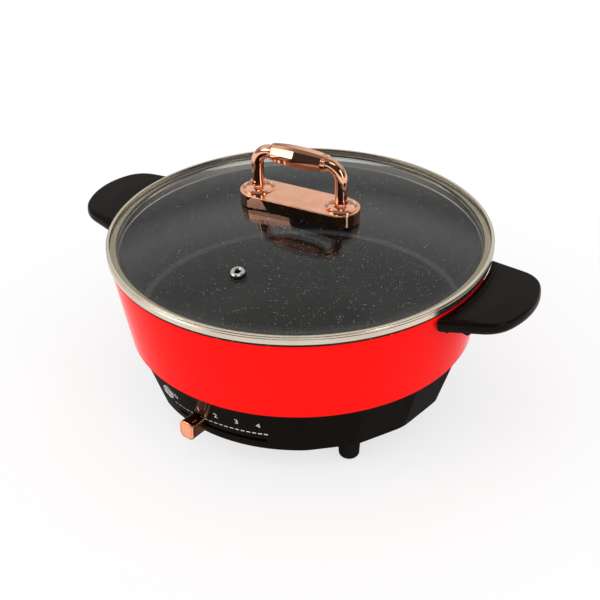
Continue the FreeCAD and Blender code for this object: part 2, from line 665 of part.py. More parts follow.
def vent_placement():
    """The vent stands square on the dome."""
    tilt = "asin(ventOffset / domeSphere)"
    return placed("ventOffset * sin(lidAngle)", "-ventOffset * cos(lidAngle)",
                  dome_level("ventOffset"), f"{LID} * rotationx({tilt})")


def make_vent():
    """Silicone grommet in the glass and the steel eyelet that is riveted into it."""
    neck = "(ventHole - ventPlay)"
    bore = "(eyeletBore + eyeletSteel)"
    above = "fitGap"
    below = "(-glassThick - fitGap)"
    turned("lid_vent_grommet", [
        (f"{bore} + fitGap", f"{below} - grommetFlange"), ("grommetRadius", f"{below} - grommetFlange"),
        ("grommetRadius", below), (neck, below), (neck, above), ("grommetRadius", above),
        ("grommetRadius", f"{above} + grommetFlange"), (f"{bore} + fitGap", f"{above} + grommetFlange")],
        vent_placement())
    seat = f"({above} + grommetFlange + fitGap)"
    flare = f"({below} - grommetFlange - fitGap)"
    body = turned("lid_vent_eyelet", [
        ("eyeletBore", f"{flare} - 0.8"), (f"{bore} + 1", f"{flare} - 0.8"), (f"{bore} + 1", flare),
        (bore, flare), (bore, seat), ("eyeletRadius", seat), ("eyeletRadius", f"{seat} + 0.6"),
        ("eyeletRadius - 1", f"{seat} + 1.3"), ("eyeletBore + 0.8", f"{seat} + 1.3"),
        ("eyeletBore", f"{seat} + 0.6")], vent_placement())
    return body


def make_handle_plate():
    """Cast obround plate whose underside follows the dome, on a gasket of the same outline."""
    body = new_body("lid_handle_plate", placed(turn=LID))
    low = "(glassEdge + domeHeight / 2)"
    extrude(body, "PlatePad", "XY_Plane", f"plateTop - {low}", [capsule("plateLength", "plateWidth")],
            offset=low)
    carve(body, "Sphere", "PlateHollow", placed(z="domeCentre"), Radius="domeSphere + gasketThick + fitGap")
    holes = [(f"{side} * postSpacing / 2", "0", "lidScrew + 2 * fitGap") for side in (-1, 1)]
    extrude(body, "PlateHoles", "XY_Plane", "4 * plateHeight", circles=holes, offset="plateTop",
            both=True, cut=True)
    round_edges(body, "PlateEdge", "plateEdge",
                lambda edge: is_level(edge, "plateTop") and edge.Length > worth("8 * lidScrew"))

    slab = new_body("GasketSlab")
    extrude(slab, "GasketPad", "XY_Plane", f"plateTop - {low}",
            [capsule("plateLength", "plateWidth", "gasketInset")], circles=holes, offset=low)
    outer = solid("Sphere", "GasketOuter", placed(z="domeCentre"), Radius="domeSphere + gasketThick")
    inner = solid("Sphere", "GasketInner", placed(z="domeCentre"), Radius="domeSphere")
    shell = doc.addObject("Part::Cut", "GasketShell")
    shell.Base = outer
    shell.Tool = inner
    gasket = doc.addObject("Part::Common", "lid_handle_gasket")
    gasket.Base = shell
    gasket.Tool = slab
    gasket.Label = "lid_handle_gasket"
    bind(gasket, Placement=placed(turn=LID))


def make_rosettes():
    """Domed rosette with a collar, one under each post of the bail."""
    bore = "(barRadius + fitGap)"
    neck = "(collarRadius - collarNeck)"
    for side, sign in LEFT_AND_RIGHT.items():
        away = f"({sign} * postSpacing / 2)"
        turned(f"lid_handle_rosette_{side}", [
            (bore, "0"), ("rosetteRadius", "0"), ("rosetteRadius", "rosetteRim"),
            ("rosetteRadius - 0.15 * rosetteFlare", "rosetteRim + 0.2 * rosetteDome"),
            ("rosetteRadius - 0.25 * rosetteFlare", "rosetteRim + 0.1 * rosetteDome"),
            ("rosetteRadius - 0.4 * rosetteFlare", "rosetteRim + 0.35 * rosetteDome"),
            (f"{neck} + 0.25 * rosetteFlare", "rosetteRim + 0.65 * rosetteDome"),
            (neck, "rosetteRim + rosetteDome"), (neck, "collarHeight - collarBand - collarNeck"),
            ("collarRadius", "collarHeight - collarBand"), ("collarRadius", "collarHeight"),
            (bore, "collarHeight")],
            placed(f"{away} * cos(lidAngle)", f"{away} * sin(lidAngle)", "plateTop", LID))


def make_bail():
    """Round bar bent twice into a bail, with a threaded hole up each post."""
    body = new_body("lid_handle_bail", placed(turn=LID))
    half = "(postSpacing / 2)"
    bend = f"({half} - barBend)"
    elbow = "(barAxis - barBend)"
    path = new_sketch(body, "BailPath", "XZ_Plane")
    draw(path, [(f"-{half}", "plateTop"), (f"-{half}", elbow, (f"-{bend}", None)), (f"-{bend}", "barAxis"),
                (bend, "barAxis", (bend, None)), (half, elbow), (half, "plateTop")], closed=False)
    section = new_sketch(body, "BailSection", "XY_Plane", offset="plateTop")
    draw_circle(section, f"-{half}", "0", "barRadius")
    pipe = body.newObject("PartDesign::AdditivePipe", "BailPipe")
    pipe.Profile = section
    pipe.Spine = (path, [])
    ends = [(f"{side} * {half}", "0", "lidScrew + fitGap") for side in (-1, 1)]
    extrude(body, "BailHoles", "XY_Plane", "2 * barHole", circles=ends, offset="plateTop",
            both=True, cut=True)


def polygon(sides, radius, level):
    """Corners of a polygon of wide and narrow flats, with a wide flat on top."""
    corners = []
    for number in range(sides):
        for side in (-1, 1):
            angle = f"({number} * 360 / gripSides + {side} * gripHalf)"
            corners.append((f"{radius} * sin({angle})", f"{level} + {radius} * cos({angle})"))
    return corners


def make_grip():
    """Faceted barrel sleeve on the bar, and the ring beads beside it."""
    body = new_body("lid_handle_grip", placed(turn=LID))
    sections = []
    sides = int(worth("gripSides"))
    for name, step, radius in (("Start", -1, "gripEnd"), ("Middle", 0, "gripMiddle"), ("End", 1, "gripEnd")):
        sketch = new_sketch(body, "Grip" + name, "YZ_Plane", offset=f"gripShift + {step} * gripLength / 2")
        draw(sketch, polygon(sides, radius, "barAxis"))
        sections.append(sketch)
    loft = body.newObject("PartDesign::AdditiveLoft", "GripLoft")
    loft.Profile = sections[0]
    loft.Sections = sections[1:]
    extrude(body, "GripBore", "YZ_Plane", "4 * gripLength", circles=[("0", "barAxis", "barRadius + fitGap")],
            both=True, cut=True)
    start = "(gripShift - gripLength / 2 - beadWidth)"
    end = "(gripShift + gripLength / 2)"
    places = {"left": start, "right": end, "right_outer": f"({end} + beadWidth)"}
    for name, where in places.items():
        bead = new_body(f"lid_handle_bead_{name}", placed(turn=LID))
        rings = [("0", "barAxis", "beadRadius"), ("0", "barAxis", "barRadius + fitGap")]
        extrude(bead, f"Bead{name}Pad", "YZ_Plane", "beadWidth - fitGap", circles=rings,
                offset=f"{where} + fitGap / 2")
        round_edges(bead, f"Bead{name}Edge", "beadWidth / 3",
                    lambda edge: is_round(edge) and abs(edge.Curve.Radius - worth("beadRadius")) < 0.01)


def make_lid_screws():
    """Two screws from under the glass into the bail, each with a washer."""
    washers = []
    screws = []
    under = f"({dome_level('postSpacing / 2 + washerRadius')} - glassThick - fitGap)"
    for side, sign in LEFT_AND_RIGHT.items():
        away = f"({sign} * postSpacing / 2)"
        outer = solid("Cylinder", f"WasherDisc{side}", placed(away, "0", f"{under} - washerThick"),
                      Radius="washerRadius", Height="washerThick")
        inner = solid("Cylinder", f"WasherHole{side}", placed(away, "0", f"{under} - 2 * washerThick"),
                      Radius="lidScrew + fitGap", Height="4 * washerThick")
        washer = doc.addObject("Part::Cut", f"Washer{side}")
        washer.Base = outer
        washer.Tool = inner
        washers.append(washer)
        seat = f"({under} - washerThick)"
        screws.append(screw(f"LidScrew{side}", away, "0", seat, "lidScrewHead", "lidScrewHeadHeight",
                            "lidScrew", f"plateTop + barHole - screwRoom - {seat}"))
    gathered("lid_handle_washers", washers, placed(turn=LID))
    gathered("lid_handle_screws", screws, placed(turn=LID))


# ================================================================ side handles
def make_slab(side):
    """Bakelite slab: inner edge concentric with the pot, bead, crease and sloped crescent."""
    body = new_body(f"Slab{side}", placed(
        "lugOffset * (1 - cos(handleTilt)) + handleTop * sin(handleTilt)", "0",
        "handleTop * (1 - cos(handleTilt)) - lugOffset * sin(handleTilt)", "rotationy(-handleTilt)"))
    root_x = "sqrt(handleInner^2 - handleRoot^2)"
    shoulder_x = "(handleTip - handleBow)"
    extrude(body, f"Slab{side}Pad", "XY_Plane", "handleThick", [[
        (root_x, "-handleRoot"), (shoulder_x, "-handleShoulder", (None, "0")),
        ("handleTip", "0", (None, "0")), (shoulder_x, "handleShoulder"),
        (root_x, "handleRoot", ("0", None)), ("handleInner", "0", ("0", None))]],
        offset="handleLow")
    round_edges(body, f"Slab{side}Corners", "handleCorner",
                lambda edge: is_upright(edge) and abs(edge.Vertexes[0].Y) > 1
                and edge.Vertexes[0].X > worth("handleTip - handleShoulder"))
    for name, level in (("Over", "handleTop"), ("Under", "handleLow")):
        round_edges(body, f"Slab{side}{name}", "handle" + name,
                    lambda edge: is_level(edge, level) and not is_ring(edge, "handleInner", level))
    reach = "(creaseReach + handleBow)"
    revolve(body, f"Slab{side}Crescent", [
        ("creaseRadius", "handleTop"), (reach, f"handleTop - ({reach} - creaseRadius) * tan(creaseAngle)"),
        (reach, "handleTop")], shift="creaseCentre", cut=True)
    revolve(body, f"Slab{side}Bead", [
        ("ridgeLine - ridgeHalf", "handleTop - ridgeProud"), ("ridgeLine - ridgeHalf", "handleTop"),
        ("ridgeLine - ridgeHalf / 2", "handleTop + ridgeProud"),
        ("ridgeLine + ridgeHalf / 2", "handleTop + ridgeProud"),
        ("ridgeLine + ridgeHalf", "handleTop"), ("ridgeLine + ridgeHalf", "handleTop - ridgeProud")],
        angle="2 * ridgeAngle")
    return body


def make_side_handles():
    """Two side handles, each a rising slab with level screw lugs under it."""
    for side, sign in LEFT_AND_RIGHT.items():
        turn = "rotationz(180)" if sign < 0 else "rotationz(0)"
        parts = [make_slab(side)]
        bores = []
        for number, (x, y) in enumerate(LUG_POINTS):
            parts.append(solid("Cylinder", f"Lug{side}{number}", placed(x, y, "lugLow"),
                               Radius="lugRadius", Height="lugDrop + handleThick / 2"))
            bores.append(solid("Cylinder", f"LugBore{side}{number}", placed(x, y, "lugLow - 1"),
                               Radius=SMALL_HOLE, Height="lugDrop + handleThick - screwRoom"))
        handle = doc.addObject("Part::Cut", f"side_handle_{side}")
        handle.Base = joined(f"Slab{side}Lugs", parts)
        handle.Tool = joined(f"Slab{side}Bores", bores)
        handle.Label = f"side_handle_{side}"
        bind(handle, Placement=placed(turn=turn))
        make_bracket(side, turn)
    make_handle_screws()


def make_bracket(side, turn):
    """Steel bracket on the pan wall: an upright leg along the wall and a shelf under the lugs."""
    body = new_body(f"handle_bracket_{side}", placed(turn=turn))
    foot = "(lugLow - bracketLeg)"
    under = "(lugLow - bracketSteel)"
    wall_top = f"({pan_radius('lugLow')} + fitGap)"
    wall_foot = f"({pan_radius(foot)} + fitGap)"
    revolve(body, f"Bracket{side}Bend", [
        (wall_foot, foot), (f"{wall_foot} + bracketSteel", foot),
        (f"{pan_radius(under)} + fitGap + bracketSteel", under), ("bracketReach", under),
        ("bracketReach", "lugLow"), (wall_top, "lugLow")],
        angle="2 * bracketAngle")
    extrude(body, f"Bracket{side}Holes", "XY_Plane", "4 * bracketSteel", circles=holes_at(LUG_POINTS),
            offset="lugLow", both=True, cut=True)


def make_handle_screws():
    seat = "(lugLow - bracketSteel)"
    length = "bracketSteel + lugDrop + handleThick - 3 * screwRoom"
    gathered("handle_screws", [small_screw(f"HandleScrew{side}{number}", f"{sign} * {x}", y, seat, length)
                               for side, sign in LEFT_AND_RIGHT.items()
                               for number, (x, y) in enumerate(LUG_POINTS)])


# ================================================================ the base
def make_base():
    """Moulded base: eighteen-sided taper with a smooth round control zone in front."""
    body = new_body("base_housing")
    revolve(body, "BaseTurn", [
        (base_inside("standHeight"), "standHeight"), ("baseBottomRadius", "standHeight"),
        ("baseTopRadius", "baseTop"), ("shelfInner", "baseTop"), ("shelfInner", "shelfUnder"),
        (base_inside("shelfUnder"), "shelfUnder")])
    round_rings(body, "BaseEdge", "baseEdge", [("baseBottomRadius", "standHeight")])

    first = "(controlAngle - 90 + facetPitch / 2)"
    sketch = new_sketch(body, "FacetOutline", "XZ_Plane", turn=first)
    low, high = "(standHeight - 5)", "(baseTop + 5)"
    draw(sketch, [
        (f"{base_radius(low)} * facetShare", low), ("baseTopRadius + 10", low),
        ("baseTopRadius + 10", high), (f"{base_radius(high)} * facetShare", high)])
    facet = body.newObject("PartDesign::Pocket", "Facet")
    facet.Profile = sketch
    facet.SideType = "Symmetric"
    bind(facet, Length="baseTopRadius")
    facets = body.newObject("PartDesign::PolarPattern", "Facets")
    facets.Originals = [facet]
    facets.Axis = (sketch, ["V_Axis"])
    bind(facets, Angle="360 - 2 * controlAngle - facetPitch",
         Occurrences="(360 - 2 * controlAngle) / facetPitch")
    body.Tip = facets

    low = "(slotLevel - slotHeight / 2)"
    high = "(slotLevel + slotHeight / 2)"
    revolve(body, "LeverSlot", [
        (f"{base_inside(low)} - 5", low), (f"{base_radius(high)} + 5", low),
        (f"{base_radius(high)} + 5", high), (f"{base_inside(low)} - 5", high)],
        angle="2 * slotAngle", turn="-90", cut=True)

    extrude(body, "Bosses", "XY_Plane", "baseTop - coverTop - shelfThick / 2",
            circles=holes_at(FOOT_POINTS, "bossRadius"), offset="coverTop")
    extrude(body, "BossHoles", "XY_Plane", "footBite + screwRoom", circles=holes_at(FOOT_POINTS),
            offset="coverTop", cut=True, reverse=True)
    extrude(body, "ShelfHoles", "XY_Plane", "4 * shelfThick", circles=holes_at(FIX_POINTS), offset="baseTop",
            both=True, cut=True)

    wide = "(inletWidth / 2 + fitGap)"
    low = "(standHeight + inletRise - inletHeight / 2 - fitGap)"
    high = "(standHeight + inletRise + inletHeight / 2 + fitGap)"
    extrude(body, "InletOpening", "XZ_Plane", "2 * inletDepth", [box_outline(f"-{wide}", wide, low, high)],
            offset="-(inletFace - inletDepth)", cut=True)
    carve(body, "Cylinder", "BadgeRecess", badge_placement("-badgeRecess"), Radius="badgeRadius + fitGap",
          Height="10 * badgeThick")


def badge_placement(depth):
    """A point on the base's wall in the badge's direction, with +Z square out of the wall."""
    level = "(standHeight + badgeRise)"
    slope = "atan((baseTopRadius - baseBottomRadius) / baseHeight)"
    radius = f"({base_radius(level)} + ({depth}) * cos({slope}))"
    return placed(f"{radius} * sin(badgeAngle)", f"-{radius} * cos(badgeAngle)",
                  f"{level} - ({depth}) * sin({slope})",
                  f"rotationz(badgeAngle) * rotationx(90 deg + {slope})")


def make_badge():
    """Plain metal disc with a raised rim, in its recess left of the scale."""
    turned("badge", [
        ("0", "0"), ("badgeRadius", "0"), ("badgeRadius", "0.8 * badgeThick"),
        ("0.95 * badgeRadius", "badgeThick"), ("0.86 * badgeRadius", "badgeThick"),
        ("0.81 * badgeRadius", "0.7 * badgeThick"), ("0", "0.7 * badgeThick")],
        badge_placement("fitGap - badgeRecess"))


def make_cover():
    """Bottom cover with a raised lip and a wheel of air slots."""
    body = new_body("base_cover")
    edge = f"({base_inside('coverLow')} - 3 * fitGap)"
    revolve(body, "CoverTurn", [
        ("0", "coverLow"), (edge, "coverLow"), (edge, "coverLow + coverLip"),
        (f"{edge} - coverLipWall", "coverLow + coverLip"), (f"{edge} - coverLipWall", "coverTop"),
        ("0", "coverTop")])
    inner = "(ventInner + ventWidth / 2)"
    outer = "(ventOuter - ventWidth / 2)"
    half = "(ventWidth / 2)"
    sketch = new_sketch(body, "AirSlotOutline", "XY_Plane", offset="coverLow")
    draw(sketch, [(inner, f"-{half}"), (outer, f"-{half}", (outer, None)), ("ventOuter", "0", (outer, None)),
                  (outer, half), (inner, half, (inner, None)), ("ventInner", "0", (inner, None))])
    slot = body.newObject("PartDesign::Pocket", "AirSlot")
    slot.Profile = sketch
    slot.SideType = "Symmetric"
    bind(slot, Length="4 * coverThick")
    slots = body.newObject("PartDesign::PolarPattern", "AirSlots")
    slots.Originals = [slot]
    slots.Axis = (sketch, ["N_Axis"])
    bind(slots, Angle="360", Occurrences="ventSlots")
    body.Tip = slots
    extrude(body, "CoverHoles", "XY_Plane", "4 * coverThick", circles=holes_at(FOOT_POINTS),
            offset="coverLow", both=True, cut=True)


def make_feet():
    """Four tapered feet, each with a recessed screw and a rubber pad."""
    pads = []
    screws = []
    seat = "(padProud + padHeight + screwHeadHeight)"
    for side, sign in LEFT_AND_RIGHT.items():
        for end, way in (("front", -1), ("back", 1)):
            x = f"({sign} * footX)"
            y = f"({way} * footY)"
            foot = turned(f"foot_{end}_{side}", [
                ("footRecess", "padProud"), ("footTip", "padProud"), ("footTop", "coverLow"),
                (SMALL_HOLE, "coverLow"), (SMALL_HOLE, seat), ("footRecess", seat)],
                placed(x, y))
            round_edges(foot, f"Foot{end}{side}Edge", "footEdge",
                        lambda edge: is_ring(edge, "footTip", "padProud"))
            pads.append(solid("Cylinder", f"Pad{end}{side}", placed(x, y),
                              Radius="footRecess - fitGap", Height="padProud + padHeight - fitGap"))
            screws.append(small_screw(f"FootScrew{end}{side}", x, y, seat, f"coverTop + footBite - {seat}"))
    gathered("foot_pads", pads)
    gathered("foot_screws", screws)


# ================================================================ the heater
def make_heater():
    """Aluminium heater plate under the pan, with the tubular element in its groove."""
    body = turned("heater_plate", [
        ("sensorHole", "heaterLow"), ("heaterRadius", "heaterLow"), ("heaterRadius", "panLow"),
        ("sensorHole", "panLow")])
    carve(body, "Torus", "ElementGroove", placed(z="heaterLow"), Radius1="elementCircle",
          Radius2="elementTube + fitGap")

    cold = "(elementTube + shieldGap + coldReach)"
    parts = [solid("Torus", "ElementCoil", placed(z="heaterLow", turn="rotationz(90 + coldAngle)"),
                   Radius1="elementCircle", Radius2="elementTube", Angle3="elementAngle")]
    for side, sign in LEFT_AND_RIGHT.items():
        x = f"({sign} * coldX)"
        parts.append(solid("Sphere", f"ElementBend{side}", placed(x, "coldY", "heaterLow"),
                           Radius="elementTube"))
        parts.append(solid("Cylinder", f"ElementEnd{side}", placed(x, "coldY", f"heaterLow - {cold}"),
                           Radius="elementTube", Height=cold))
        parts.append(solid("Cylinder", f"ElementPin{side}",
                           placed(x, "coldY", f"heaterLow - {cold} - pinLength"),
                           Radius="elementPin", Height="pinLength + elementPin"))
    joined("heating_element", parts)


def make_shield():
    """Dished heat shield under the element, with holes for the cold ends and the sensor."""
    body = new_body("heat_shield")
    flange = "(shelfUnder - shieldSteel)"
    inner = "(shelfInner - shieldSteel)"
    revolve(body, "ShieldTurn", [
        ("sensorHole", "shieldLow"), ("shieldFlat", "shieldLow"), (inner, flange), ("shieldFlange", flange),
        ("shieldFlange", "shelfUnder"), (f"{inner} - shieldSteel", "shelfUnder"),
        ("shieldFlat - shieldSteel", "shieldLow + shieldSteel"), ("sensorHole", "shieldLow + shieldSteel")])
    cold = [(f"{sign} * coldX", "coldY", "coldHole") for sign in (-1, 1)]
    extrude(body, "ColdHoles", "XY_Plane", "4 * shieldSteel", circles=cold, offset="shieldLow",
            both=True, cut=True)
    extrude(body, "FlangeHoles", "XY_Plane", "4 * shieldSteel", circles=holes_at(FIX_POINTS), offset=flange,
            both=True, cut=True)
    length = f"panLow + fixDepth - screwRoom / 2 - {flange}"
    gathered("pan_screws", [small_screw(f"PanScrew{number}", x, y, flange, length)
                            for number, (x, y) in enumerate(FIX_POINTS)])


def make_thermostat():
    """Slide thermostat: ceramic block on a bracket, sensor against the pan, fuse and terminals."""
    bracket = new_body("thermostat_bracket")
    half = "(supportLength / 2)"
    wide = "(supportWidth / 2)"
    extrude(bracket, "BracketPad", "XY_Plane", "supportSheet",
            [box_outline(f"-{half}", half, f"-{wide}", wide)],
            circles=[("0", "0", "spindleRadius + sensorPlay")], offset="thermoTop")

    block = new_body("thermostat_block")
    half = "(thermoLength / 2)"
    wide = "(thermoWidth / 2)"
    extrude(block, "BlockPad", "XY_Plane", "thermoTop - thermoLow",
            [box_outline(f"-{half}", half, f"-{wide}", wide)], offset="thermoLow")
    round_edges(block, "BlockEdges", "thermoCap", is_upright)
    extrude(block, "SpindleBore", "XY_Plane", "thermoTop - thermoLow - thermoCap",
            circles=[("0", "0", "spindleRadius + runningFit")], offset="thermoLow", cut=True, reverse=True)
    tabs = []
    for side in (-1, 1):
        for row in (-1, 1):
            middle = f"({row} * tabSpacing / 2)"
            tabs.append(box_outline(f"{side} * {half}", f"{side} * ({half} + tabLength)",
                                    f"{middle} - tabWidth / 2", f"{middle} + tabWidth / 2"))
    extrude(block, "Tabs", "XY_Plane", "tabSheet", tabs, offset="(thermoLow + thermoTop) / 2")

    turned("sensor_cap", [
        ("0", "thermoTop"), ("spindleRadius", "thermoTop"), ("spindleRadius", "panLow - sensorHeight"),
        ("sensorRadius", "panLow - sensorHeight"), ("sensorRadius", "panLow - fitGap"),
        ("0", "panLow - fitGap")])

    fuse = new_body("thermal_fuse")
    place = ("-(thermoWidth / 2 + fuseGap)", "shieldLow - fuseRadius - fitGap")
    extrude(fuse, "FusePad", "YZ_Plane", "fuseLength", circles=[(*place, "fuseRadius")], both=True)
    extrude(fuse, "FuseLeads", "YZ_Plane", "fuseLength + 2 * fuseLead", circles=[(*place, "fuseRadius / 5")],
            both=True)

    terminals = new_body("terminal_block")
    outline = box_outline("-blockLength / 2", "blockLength / 2", "blockOffset - blockWidth / 2",
                          "blockOffset + blockWidth / 2")
    clamps = [(f"{place} * blockLength / 3", "blockOffset", "blockHole") for place in (-1, 0, 1)]
    extrude(terminals, "TerminalPad", "XY_Plane", "blockHeight", [outline], circles=clamps,
            offset="shieldLow - blockHeight")


def make_inlet():
    """Shrouded power inlet in the back of the base, with three contact pins."""
    body = new_body("power_inlet")
    middle = "(standHeight + inletRise)"
    wide = "(inletWidth / 2)"
    high = "(inletHeight / 2)"
    extrude(body, "InletPad", "XZ_Plane", "inletDepth",
            [box_outline(f"-{wide}", wide, f"{middle} - {high}", f"{middle} + {high}")], offset="-inletFace")
    round_edges(body, "InletCorners", "inletCorner",
                lambda edge: abs(edge.Vertexes[0].Y - edge.Vertexes[-1].Y) > 1)
    wide = "(inletWidth / 2 - inletWall)"
    high = "(inletHeight / 2 - inletWall)"
    extrude(body, "InletCavity", "XZ_Plane", "inletDepth - inletFloor",
            [box_outline(f"-{wide}", wide, f"{middle} - {high}", f"{middle} + {high}")],
            offset="-inletFace", cut=True, reverse=True)
    pins = [(f"{place} * pinPitch", middle, "pinRadius + fitGap / 2") for place in (-1, 0, 1)]
    extrude(body, "InletPinHoles", "XZ_Plane", "4 * inletDepth", circles=pins, offset="-inletFace",
            both=True, cut=True)
    start = "inletFace - inletDepth - pinTail"
    gathered("inlet_pins", [solid("Cylinder", f"Contact{place + 2}",
                                  placed(f"{place} * pinPitch", start, middle, "rotationx(-90)"),
                                  Radius="pinRadius", Height="inletDepth + pinTail - pinInset")
                            for place in (-1, 0, 1)])


# ================================================================ the lever
def make_lever():
    """Temperature lever: spindle in the thermostat, arm through the slot, knob on its end."""
    turn = "rotationz(restAngle)"
    top = "(slotLevel + leverThick / 2)"
    low = "(slotLevel - leverThick / 2)"
    arm = new_body("lever_arm", placed(turn=turn))
    half = "(leverWidth / 2)"
    extrude(arm, "ArmPad", "XY_Plane", "leverThick", [box_outline(f"-{half}", half, "-leverReach", "0")],
            offset=low)
    extrude(arm, "HubPad", "XY_Plane", "leverThick", circles=[("0", "0", "hubRadius")], offset=low)
    extrude(arm, "HubBore", "XY_Plane", "4 * leverThick", circles=[("0", "0", "spindleRadius + fitGap")],
            offset=low, both=True, cut=True)

    head = f"({low} - fitGap)"
    end = "(thermoTop - thermoCap - screwRoom)"
    turned("thermostat_spindle", [
        ("0", f"{head} - spindleHead"), ("spindleRadius + spindleHead", f"{head} - spindleHead"),
        ("spindleRadius + spindleHead", head), ("spindleRadius", head), ("spindleRadius", end), ("0", end)],
        placed(turn=turn))
    seat = f"({top} + fitGap)"
    end = "(thermoLow - 3 * fitGap)"
    turned("lever_spacer", [
        ("spindleRadius + fitGap", seat), ("hubRadius - spindleHead", seat), ("hubRadius - spindleHead", end),
        ("spindleRadius + fitGap", end)], placed(turn=turn))

    knob = new_body("lever_knob", placed(turn=turn))
    low = "(slotLevel + knobRise - knobHeight / 2)"
    high = "(slotLevel + knobRise + knobHeight / 2)"
    extrude(knob, "KnobPad", "YZ_Plane", "knobWidth",
            [[(f"-({base_radius(low)} + knobGap)", low), ("-knobFront", low),
              ("-knobFront", high), (f"-({base_radius(high)} + knobGap)", high)]], both=True)
    round_edges(knob, "KnobEdges", "knobEdge",
                lambda edge: abs(edge.Vertexes[0].Z - edge.Vertexes[-1].Z) < 0.01
                and abs(edge.Vertexes[0].X - edge.Vertexes[-1].X) < 0.01)
    round_edges(knob, "KnobFront", "knobEdge / 6",
                lambda edge: all(abs(vertex.Y + worth("knobFront")) < 0.01 for vertex in edge.Vertexes))
    lines = []
    for inset in ("knobBorder", "(knobBorder + knobLine)"):
        lines.append(rounded_box(f"({inset} - knobWidth / 2)", f"(knobWidth / 2 - {inset})",
                                 f"({low} + {inset})", f"({high} - {inset})", f"(knobEdge - {inset})"))
    extrude(knob, "KnobLine", "XZ_Plane", "knobLine", lines, offset="knobFront", cut=True)
    half = "(leverWidth / 2 + fitGap)"
    extrude(knob, "KnobSocket", "XY_Plane", "leverThick + 2 * fitGap",
            [box_outline(f"-{half}", half, "-(leverReach + fitGap)", "-baseBottomRadius")],
            offset="slotLevel", both=True, cut=True)


# ================================================================ build and check
make_pan()
make_ring()
make_glass()
make_vent()
make_handle_plate()
make_rosettes()
make_bail()
make_grip()
make_lid_screws()
make_side_handles()
make_base()
make_badge()
make_cover()
make_feet()
make_heater()
make_shield()
make_thermostat()
make_inlet()
make_lever()
doc.recompute()

NODES = sorted(item.Label for item in doc.Objects
               if re.fullmatch(r"[a-z][a-z_]*", item.Label) and hasattr(item, "Shape"))
for item in doc.Objects:
    if "Invalid" in item.State or "Error" in item.State:
        raise RuntimeError(f"{item.Label} did not build: {item.State}")

os.makedirs("parts", exist_ok=True)
for label in NODES:
    item = doc.getObjectsByLabel(label)[0]
    if item.Shape.isNull() or not item.Shape.isValid():
        raise RuntimeError(f"{label} has no valid shape")
    item.Shape.exportStep(f"parts/{label}.step")
    print(label, len(item.Shape.Solids), round(item.Shape.Volume))
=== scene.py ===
import math

import bpy
import numpy as np
from mathutils import Euler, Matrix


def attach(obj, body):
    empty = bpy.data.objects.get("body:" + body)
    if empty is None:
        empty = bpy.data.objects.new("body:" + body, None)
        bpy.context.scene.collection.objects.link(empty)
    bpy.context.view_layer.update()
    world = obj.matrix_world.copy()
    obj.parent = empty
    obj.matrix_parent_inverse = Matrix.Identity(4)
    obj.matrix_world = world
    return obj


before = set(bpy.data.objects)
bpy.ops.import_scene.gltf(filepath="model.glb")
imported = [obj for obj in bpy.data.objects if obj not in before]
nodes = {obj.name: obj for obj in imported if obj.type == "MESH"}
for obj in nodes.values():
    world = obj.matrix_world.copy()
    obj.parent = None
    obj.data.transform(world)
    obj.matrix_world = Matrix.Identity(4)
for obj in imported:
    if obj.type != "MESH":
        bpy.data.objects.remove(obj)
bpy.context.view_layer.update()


# node trees, written as sums

class Wire:                     # an output socket; what is written with it adds Math nodes
    def __init__(self, home, socket):
        self.home = home
        self.socket = socket

    def out(self, name):        # another output of the same node
        return Wire(self.home, self.socket.node.outputs[name])

    def __add__(self, other):
        return self.home.maths("ADD", self, other)

    def __radd__(self, other):
        return self.home.maths("ADD", other, self)

    def __sub__(self, other):
        return self.home.maths("SUBTRACT", self, other)

    def __rsub__(self, other):
        return self.home.maths("SUBTRACT", other, self)

    def __mul__(self, other):
        return self.home.maths("MULTIPLY", self, other)

    def __rmul__(self, other):
        return self.home.maths("MULTIPLY", other, self)

    def __lt__(self, other):
        return self.home.maths("LESS_THAN", self, other)

    def __gt__(self, other):
        return self.home.maths("GREATER_THAN", self, other)


